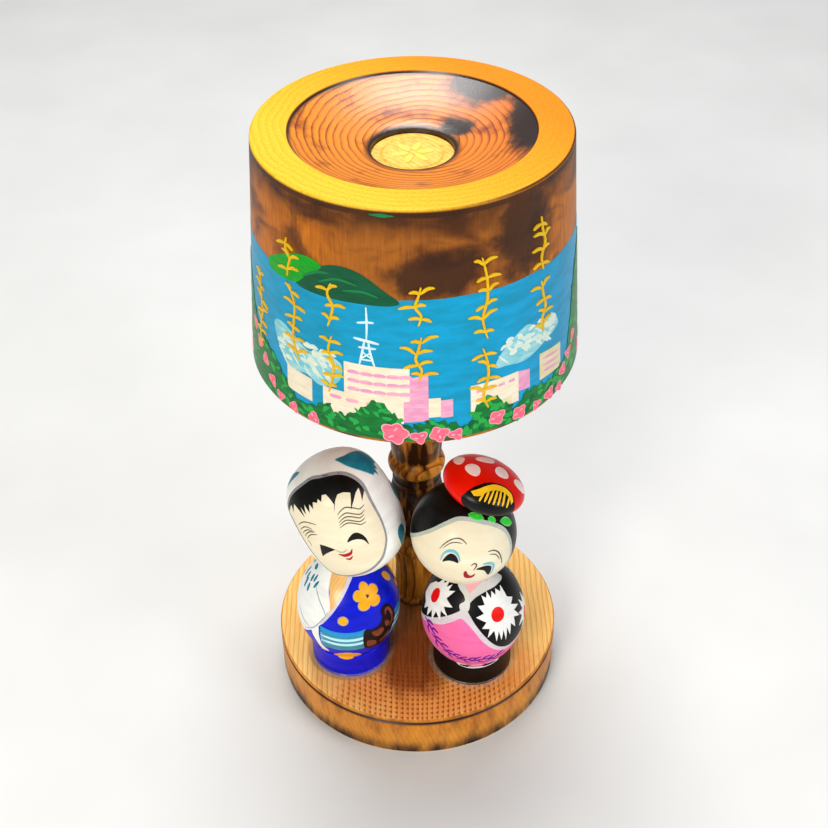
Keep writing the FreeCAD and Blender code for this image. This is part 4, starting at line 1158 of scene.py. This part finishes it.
def hoop(name, skin, edge, width, lift, slot, finish):
    """A closed painted line: a thin raised band of even width along a closed edge."""
    form, beside = bmesh.new(), []
    for before, after in zip(edge[-1:] + edge[:-1], edge[1:] + edge[:1]):
        way = (after - before).normalized()
        beside.append(Vector((-way.y, way.x)) * (width / 2))
    joined(form, [[form.verts.new(skin.lay(p + out * n, off)) for p, n in zip(edge, beside)]
                  for out, off in ((1, -0.03), (1, lift), (-1, lift), (-1, -0.03))])
    return fit(as_piece(name, form, 60), skin.body, slot, finish)


hoop("left_hem", cloth, flowing(hem_line, True), 1.05, 0.11, "black_paint", hem_grey)
hair_black = enamel("hair_black_enamel", "#040504", "#0C0D0C", roughness=0.42, coat=0.12, grain=1.2)
fringe = [(-67, 8.0), (-61, 9.8), (-55, 11.2), (-50, 9.8), (-49, 11.7), (-41, 11.0), (-31, 9.2),
          (-36, 11.5), (-28, 9.9), (-29, 12.0), (-22, 10.2), (-21, 12.0), (-16, 11.0), (-15, 12.3),
          (-9, 12.0), (-7, 12.7), (-3, 12.0), (0, 13.1), (6, 13.0), (9, 12), (11, 10.6), (8, 9.1),
          (14, 11.2), (20, 12.1), (28, 11.9), (35, 11.0), (30, 9.4), (25, 7.6), (33, 9.2), (41, 10.4),
          (47, 10.7), (44, 9.2), (41, 7.8), (51, 9.4)]
edge = straight(on(cloth, *fringe), 0.4, closed=False)
upper = flowing(on(cloth, (51, 9.4), (54, 11.2), (48, 14.3), (28, 15.1), (0, 15.3), (-26, 15.3),
                   (-47, 14.6), (-64, 12), (-67, 8.6)))
paint("left_fringe", cloth, [edge + upper[:-1]], 0.10, "black_paint", hair_black)
brow_grey = enamel("brow_umber_enamel", "#5C5644", "#4C4636", grain=0.8)
brows = [[(9, 8.0), (20, 8.9), (28, 7.8), (34, 6.6), (41, 6.8)],
         [(8, 7.0), (18, 7.6), (26, 6.3), (32, 5.4), (38, 5.7)],
         [(7, 6.1), (16, 6.7), (24, 5.7), (29, 4.7), (35, 4.8)],
         [(6, 5.4), (15, 5.9), (22, 4.8), (28, 3.8), (34, 3.9)],
         [(5, 4.7), (15, 5.1), (22, 4.0), (27, 3.0), (33, 2.9)], [(-48, 6.3), (-35, 7.8), (-19, 7.0)],
         [(-47, 5.0), (-36, 6.4), (-27, 5.9)], [(-45, 4.2), (-34, 5.6), (-26, 5.3)],
         [(-43, 3.4), (-33, 5.0), (-25, 5.0)], [(-41, 2.7), (-32, 4.2), (-23, 4.2)],
         [(-42, 2.2), (-40, 1.5), (-40, 0.4)]]
paint("left_brow_lines", cloth, strokes(cloth, [(0.32, *b) for b in brows], 0.3), 0.10, "black_paint",
      brow_grey)
paint("left_eyes", cloth, [
    patch(cloth, (5, 0.3), (10, 1.5), (17, 1.9), (22, 0.8), (24.5, -1), (24, -3.0), (21.5, -1.2),
          (17, -0.2), (11, 0.3)),
    straight(on(cloth, (-26, 1.3), (-19, 0.6), (-11, -0.9), (-19, -1.3), (-32, -2.9)))], 0.11,
      "black_paint", hair_black)
paint("left_nose", cloth, [oval(cloth, -4, -0.3, 2.5, 2.1, 10)], 0.18, "face_paint", face_cream, 0.4)
# a thin grey stroke under the raised nose is a painted shadow
paint("left_nose_painted_shadow", cloth, [stroke(cloth, (-11, -1.0), (-7, -1.9), (-2, -2.0), (1, -1.4), width=0.22)],
      0.16, "black_paint", hem_grey)
lip_red = enamel("lip_red_enamel", "#A80E1E", "#B4182A", grain=0.8)
paint("left_mouth", cloth, [
    stroke(cloth, (-10.5, -2.4), (-6, -3.2), (-1, -3.3), (3, -3.0), (6, -2.0), width=1.05, ends=0.15),
    stroke(cloth, (-6, -4.4), (-2, -4.8), (2.5, -4.2), width=0.6, ends=0.25)], 0.11, "red_paint", lip_red)
teal_edge = enamel("teal_edge_enamel", "#B4DADA", "#CCE4E2", grain=0.8)
dabs = [[(74, 15.2), (88, 15.5), (100, 15.0), (112, 14.0), (117, 12.4), (112, 10.8), (106, 10.3),
         (100, 9.6), (96, 10.2), (91, 9.0), (88, 9.8), (84, 8.4), (81, 9.7), (77, 9.6), (70, 12.2),
         (66, 14.2)],
        [(-86, 14.7), (-90, 12.2), (-97, 12.4), (-106, 13.0), (-104, 14.4), (-92, 15.0)],
        [(68, -5.8), (78, -7.4), (79, -10.4), (70, -12.2), (63, -9.8), (62, -7.2)],
        [(92, 1.6), (102, 2.8), (112, 0.6), (106, -2.6), (94, -2.0)],
        [(150, 12.0), (166, 12.8), (178, 10.6), (172, 8.0), (156, 8.4)],
        [(-128, 9.0), (-114, 9.8), (-108, 7.0), (-116, 4.8), (-130, 5.6)],
        [(134, 3.8), (148, 4.8), (156, 1.8), (146, -1.2), (134, 0.2)],
        [(-168, 2.4), (-154, 3.6), (-147, 0.4), (-156, -2.2), (-168, -1.0)],
        [(-112, -3.0), (-100, -1.8), (-92, -4.8), (-100, -7.4), (-112, -6.2)],
        [(116, -7.0), (130, -6.0), (136, -9.0), (126, -11.2), (114, -10.0)],
        [(176, -7.4), (190, -6.2), (198, -9.2), (188, -11.4), (176, -10.4)]]


def grown_out(edge, by):
    """The same edge moved outwards."""
    centre = sum(edge, Vector((0, 0))) / len(edge)
    return [p + (p - centre).normalized() * by for p in edge]


teal_edges = [patch(cloth, *d) for d in dabs]
paint("left_kerchief_dab_edges", cloth, [grown_out(e, 0.3) for e in teal_edges], 0.05, "blue_paint",
      teal_edge)
paint("left_kerchief_dabs", cloth, teal_edges, 0.08, "blue_paint", teal_paint)

# ================================================================ the doll with the bun: her head
# A turned ball on the neck peg, cream below and black above a pale hairline, with three leaves in the hair.
# A flattened red ball is pinned on its crown: her bun, spotted white, with a yellow comb at its front.

ball_rise, ball_radius, bun_seat = 12.9, 13.2, 10.9
right_axis = (tan(radians(19)), tan(radians(7)), 1)
ball_place = (11.7, -16.5, 60.7)
black_from = 10.4


def ellipse_line(rise, radius, low, high, step=6):
    """Points up the side of an ellipse turned round its upright axis, from one height to another."""
    first, last = asin(max(-1, low / rise)), asin(min(1, high / rise))
    count = ceil(abs(last - first) / radians(step / 2))
    return [(max(0.0, radius * cos(first + (last - first) * k / count)),
             rise * sin(first + (last - first) * k / count))
            for k in range(count + 1)]


ball_skin = ellipse_line(ball_rise, ball_radius, -ball_rise, bun_seat) + [(0, bun_seat)]
right_head_form = Turned(ball_skin, ball_place, right_axis)
right_head = right_head_form.mesh("right_head_turned", 192, neck_seat)
fit(right_head, "right_head", "face_paint", face_cream, "right_head")
right_head.data.materials.append(hair_black)
upright = right_head_form.stand.inverted()
for face in right_head.data.polygons:
    if (upright @ (face.center / MM)).z > black_from:
        face.material_index = 1

ball = Skin(right_head_form, ball_skin, "right_head", crown=True)
hairline = [(-100, -5.6), (-80, -3.2), (-65, -0.2), (-52, 3.5), (-42, 6.8), (-32, 8.9), (-16, 9.75),
            (7, 9.95), (30, 9.5), (46, 8.2), (54, 5.6), (59, 1.5), (61, -3.0), (66, -6.0), (84, -8.0),
            (112, -8.2), (145, -7.6), (180, -7.2), (215, -7.2), (240, -6.8)]
hair_edge = patch(ball, *hairline)
paint("right_hair", ball, [hair_edge], 0.08, "black_paint", hair_black)
hair_hem = enamel("hairline_grey_enamel", "#B2BCB0", "#BEC6BA", grain=1.0)
hoop("right_hairline", ball, hair_edge, 1.15, 0.10, "white_paint", hair_hem)
paint("right_eyes", ball, [
    patch(ball, (-25, -1.6), (-24, 0), (-21, 1.4), (-17, 1.7), (-12, 1.1), (-9, -0.1), (-15, -0.2),
          (-20, -0.6)),
    patch(ball, (12, -0.8), (17, 0.1), (24, 0.5), (29, 0.1), (31, -1.2), (32, -2.9), (28, -2.4),
          (22, -1.1))],
    0.09, "black_paint", hair_black)
lid_blue = enamel("lid_blue_enamel", "#5CB4D4", "#7CC4D4", grain=0.8)
paint("right_eyelids", ball, strokes(ball, [
    (0.75, (-27.5, -1.6), (-27, 0.6), (-23, 2.0), (-17, 2.4), (-12, 1.8), (-8, 0.4)),
    (0.75, (17, 0.9), (24, 1.2), (30, 0.8), (33, -0.6), (34.5, -2.8))]), 0.11, "blue_paint", lid_blue)
paint("right_brows", ball, [
    stroke(ball, (-33, 1.2), (-31, 2.8), (-27, 4.4), (-21, 5.5), (-15, 5.7), (-8, 5.1), width=0.36),
    stroke(ball, (-30, 1.8), (-26, 3.6), (-20, 4.6), (-13, 4.9), width=0.26),
    stroke(ball, (19, 4.3), (26, 4.6), (33, 4.0), (40, 2.0), (44, 0.3), width=0.36),
    stroke(ball, (22, 3.6), (30, 3.5), (37, 2.0), width=0.26),
    stroke(ball, (5, 0.1), (7.5, 0.9), (10.5, 0.4), (9.5, -1.2), width=0.4, ends=0.4)], 0.09, "black_paint",
      brow_grey)
lip_dark = enamel("lip_crimson_enamel", "#8E1418", "#A81C20", grain=0.8)
paint("right_mouth", ball, [
    patch(ball, (2.5, -3.7), (0.8, -2.4), (2.2, -1.9), (6, -2.9), (10, -3.3), (14, -2.5), (13.4, -3.7),
          (9, -4.4), (5, -4.3))], 0.10, "red_paint", lip_dark)
leaf_pale = enamel("leaf_edge_enamel", "#78E07A", "#90E48C", grain=0.8)
leaf_bright = enamel("leaf_bright_enamel", "#30DC3C", "#28C838", grain=0.8)


def lens(skin, start, end, width):
    """A leaf: two bows that meet in a point at each end."""
    a, b = on(skin, start, end)
    side = Vector((a.y - b.y, b.x - a.x)).normalized() * width / 2
    ways = [a.lerp(b, k / 14) + side * sin(pi * k / 14) ** 0.8 for k in range(14)]
    return ways + [b.lerp(a, k / 14) - side * sin(pi * k / 14) ** 0.8 for k in range(14)]


leaves = [((-22, 10.3), (8, 10.45), 1.7), ((15, 10.5), (32, 10.25), 1.3), ((40, 9.95), (69, 8.5), 1.9)]
paint("right_leaf_edges", ball, [lens(ball, a, b, w + 0.5) for a, b, w in leaves], 0.11, "blue_paint",
      leaf_pale)
paint("right_leaves", ball, [lens(ball, a, b, w - 0.1) for a, b, w in leaves], 0.14, "blue_paint",
      leaf_bright)

bun_rise, bun_radius, bun_middle = 4.8, 10.4, 15.0
bun_place = Vector(ball_place) + Vector(right_axis).normalized() * bun_middle
bun_skin = ellipse_line(bun_rise, bun_radius, bun_seat - bun_middle, bun_rise)
bun_form = Turned([(0, bun_seat - bun_middle)] + bun_skin, bun_place, right_axis)
fit(bun_form.mesh("right_bun_turned", 192), "right_head", "red_paint", red_paint, "right_bun")
bun = Skin(bun_form, bun_skin, "right_head", crown=True)
spot_white = enamel("spot_white_enamel", "#FFF0EA", "#F8DED6", grain=0.8)
spots = [(-112, 3.1, 4.2, 2.8, 20), (-73, 4.3, 4.6, 3.6, 0), (-168, 4.4, 5.0, 3.0, 0),
         (90, 4.6, 4.4, 3.6, 0), (82, 2.9, 3.6, 4.2, 0), (150, 2.6, 4.4, 3.2, 0), (-150, 1.8, 4.2, 3.0, 0),
         (120, 0.8, 3.8, 2.8, 0), (-125, -0.6, 3.6, 2.6, 0)]
paint("right_bun_spots", bun, [oval(bun, *s, lobes=3, depth=0.05) for s in spots], 0.06, "white_paint",
      spot_white)
paint("right_comb_ground", bun, [
    patch(bun, (-38, 0.2), (-36, 1.8), (-33, 2.8), (-24, 3.7), (-10, 4.15), (8, 4.25), (28, 4.15),
          (42, 3.7), (45, 2.9), (43, 1.6), (42, 0.1), (35, -2.2), (15, -3.2), (-8, -3.2), (-28, -2.2))],
      0.06, "black_paint", hair_black)
comb_yellow = enamel("comb_yellow_enamel", "#F6BC10", "#FBCC28", grain=0.8)
comb_top = [(-31, 2.3), (-24, 3.0), (-12, 3.75), (6, 4.1), (24, 4.05), (37, 3.7), (42, 3.0), (40, 2.0)]
comb_low = [(35, 1.6), (35, 2.6), (27, 3.4), (12, 3.6), (-4, 3.3), (-16, 2.3), (-24, 1.9)]
teeth = [((-12, 2.8), (-14, 1.5)), ((-4, 3.3), (-7, 1.7)), ((5, 3.5), (-1, 1.6)), ((13, 3.5), (6, 1.6)),
         ((21, 3.5), (13, 1.6)), ((28, 3.3), (20, 1.5)), ((34, 2.7), (27, 1.2))]
comb = [between(bun, comb_top, comb_low)] + strokes(bun, [(0.55, *tooth) for tooth in teeth], 0.6)
paint("right_comb", bun, comb, 0.14, "white_paint", comb_yellow)
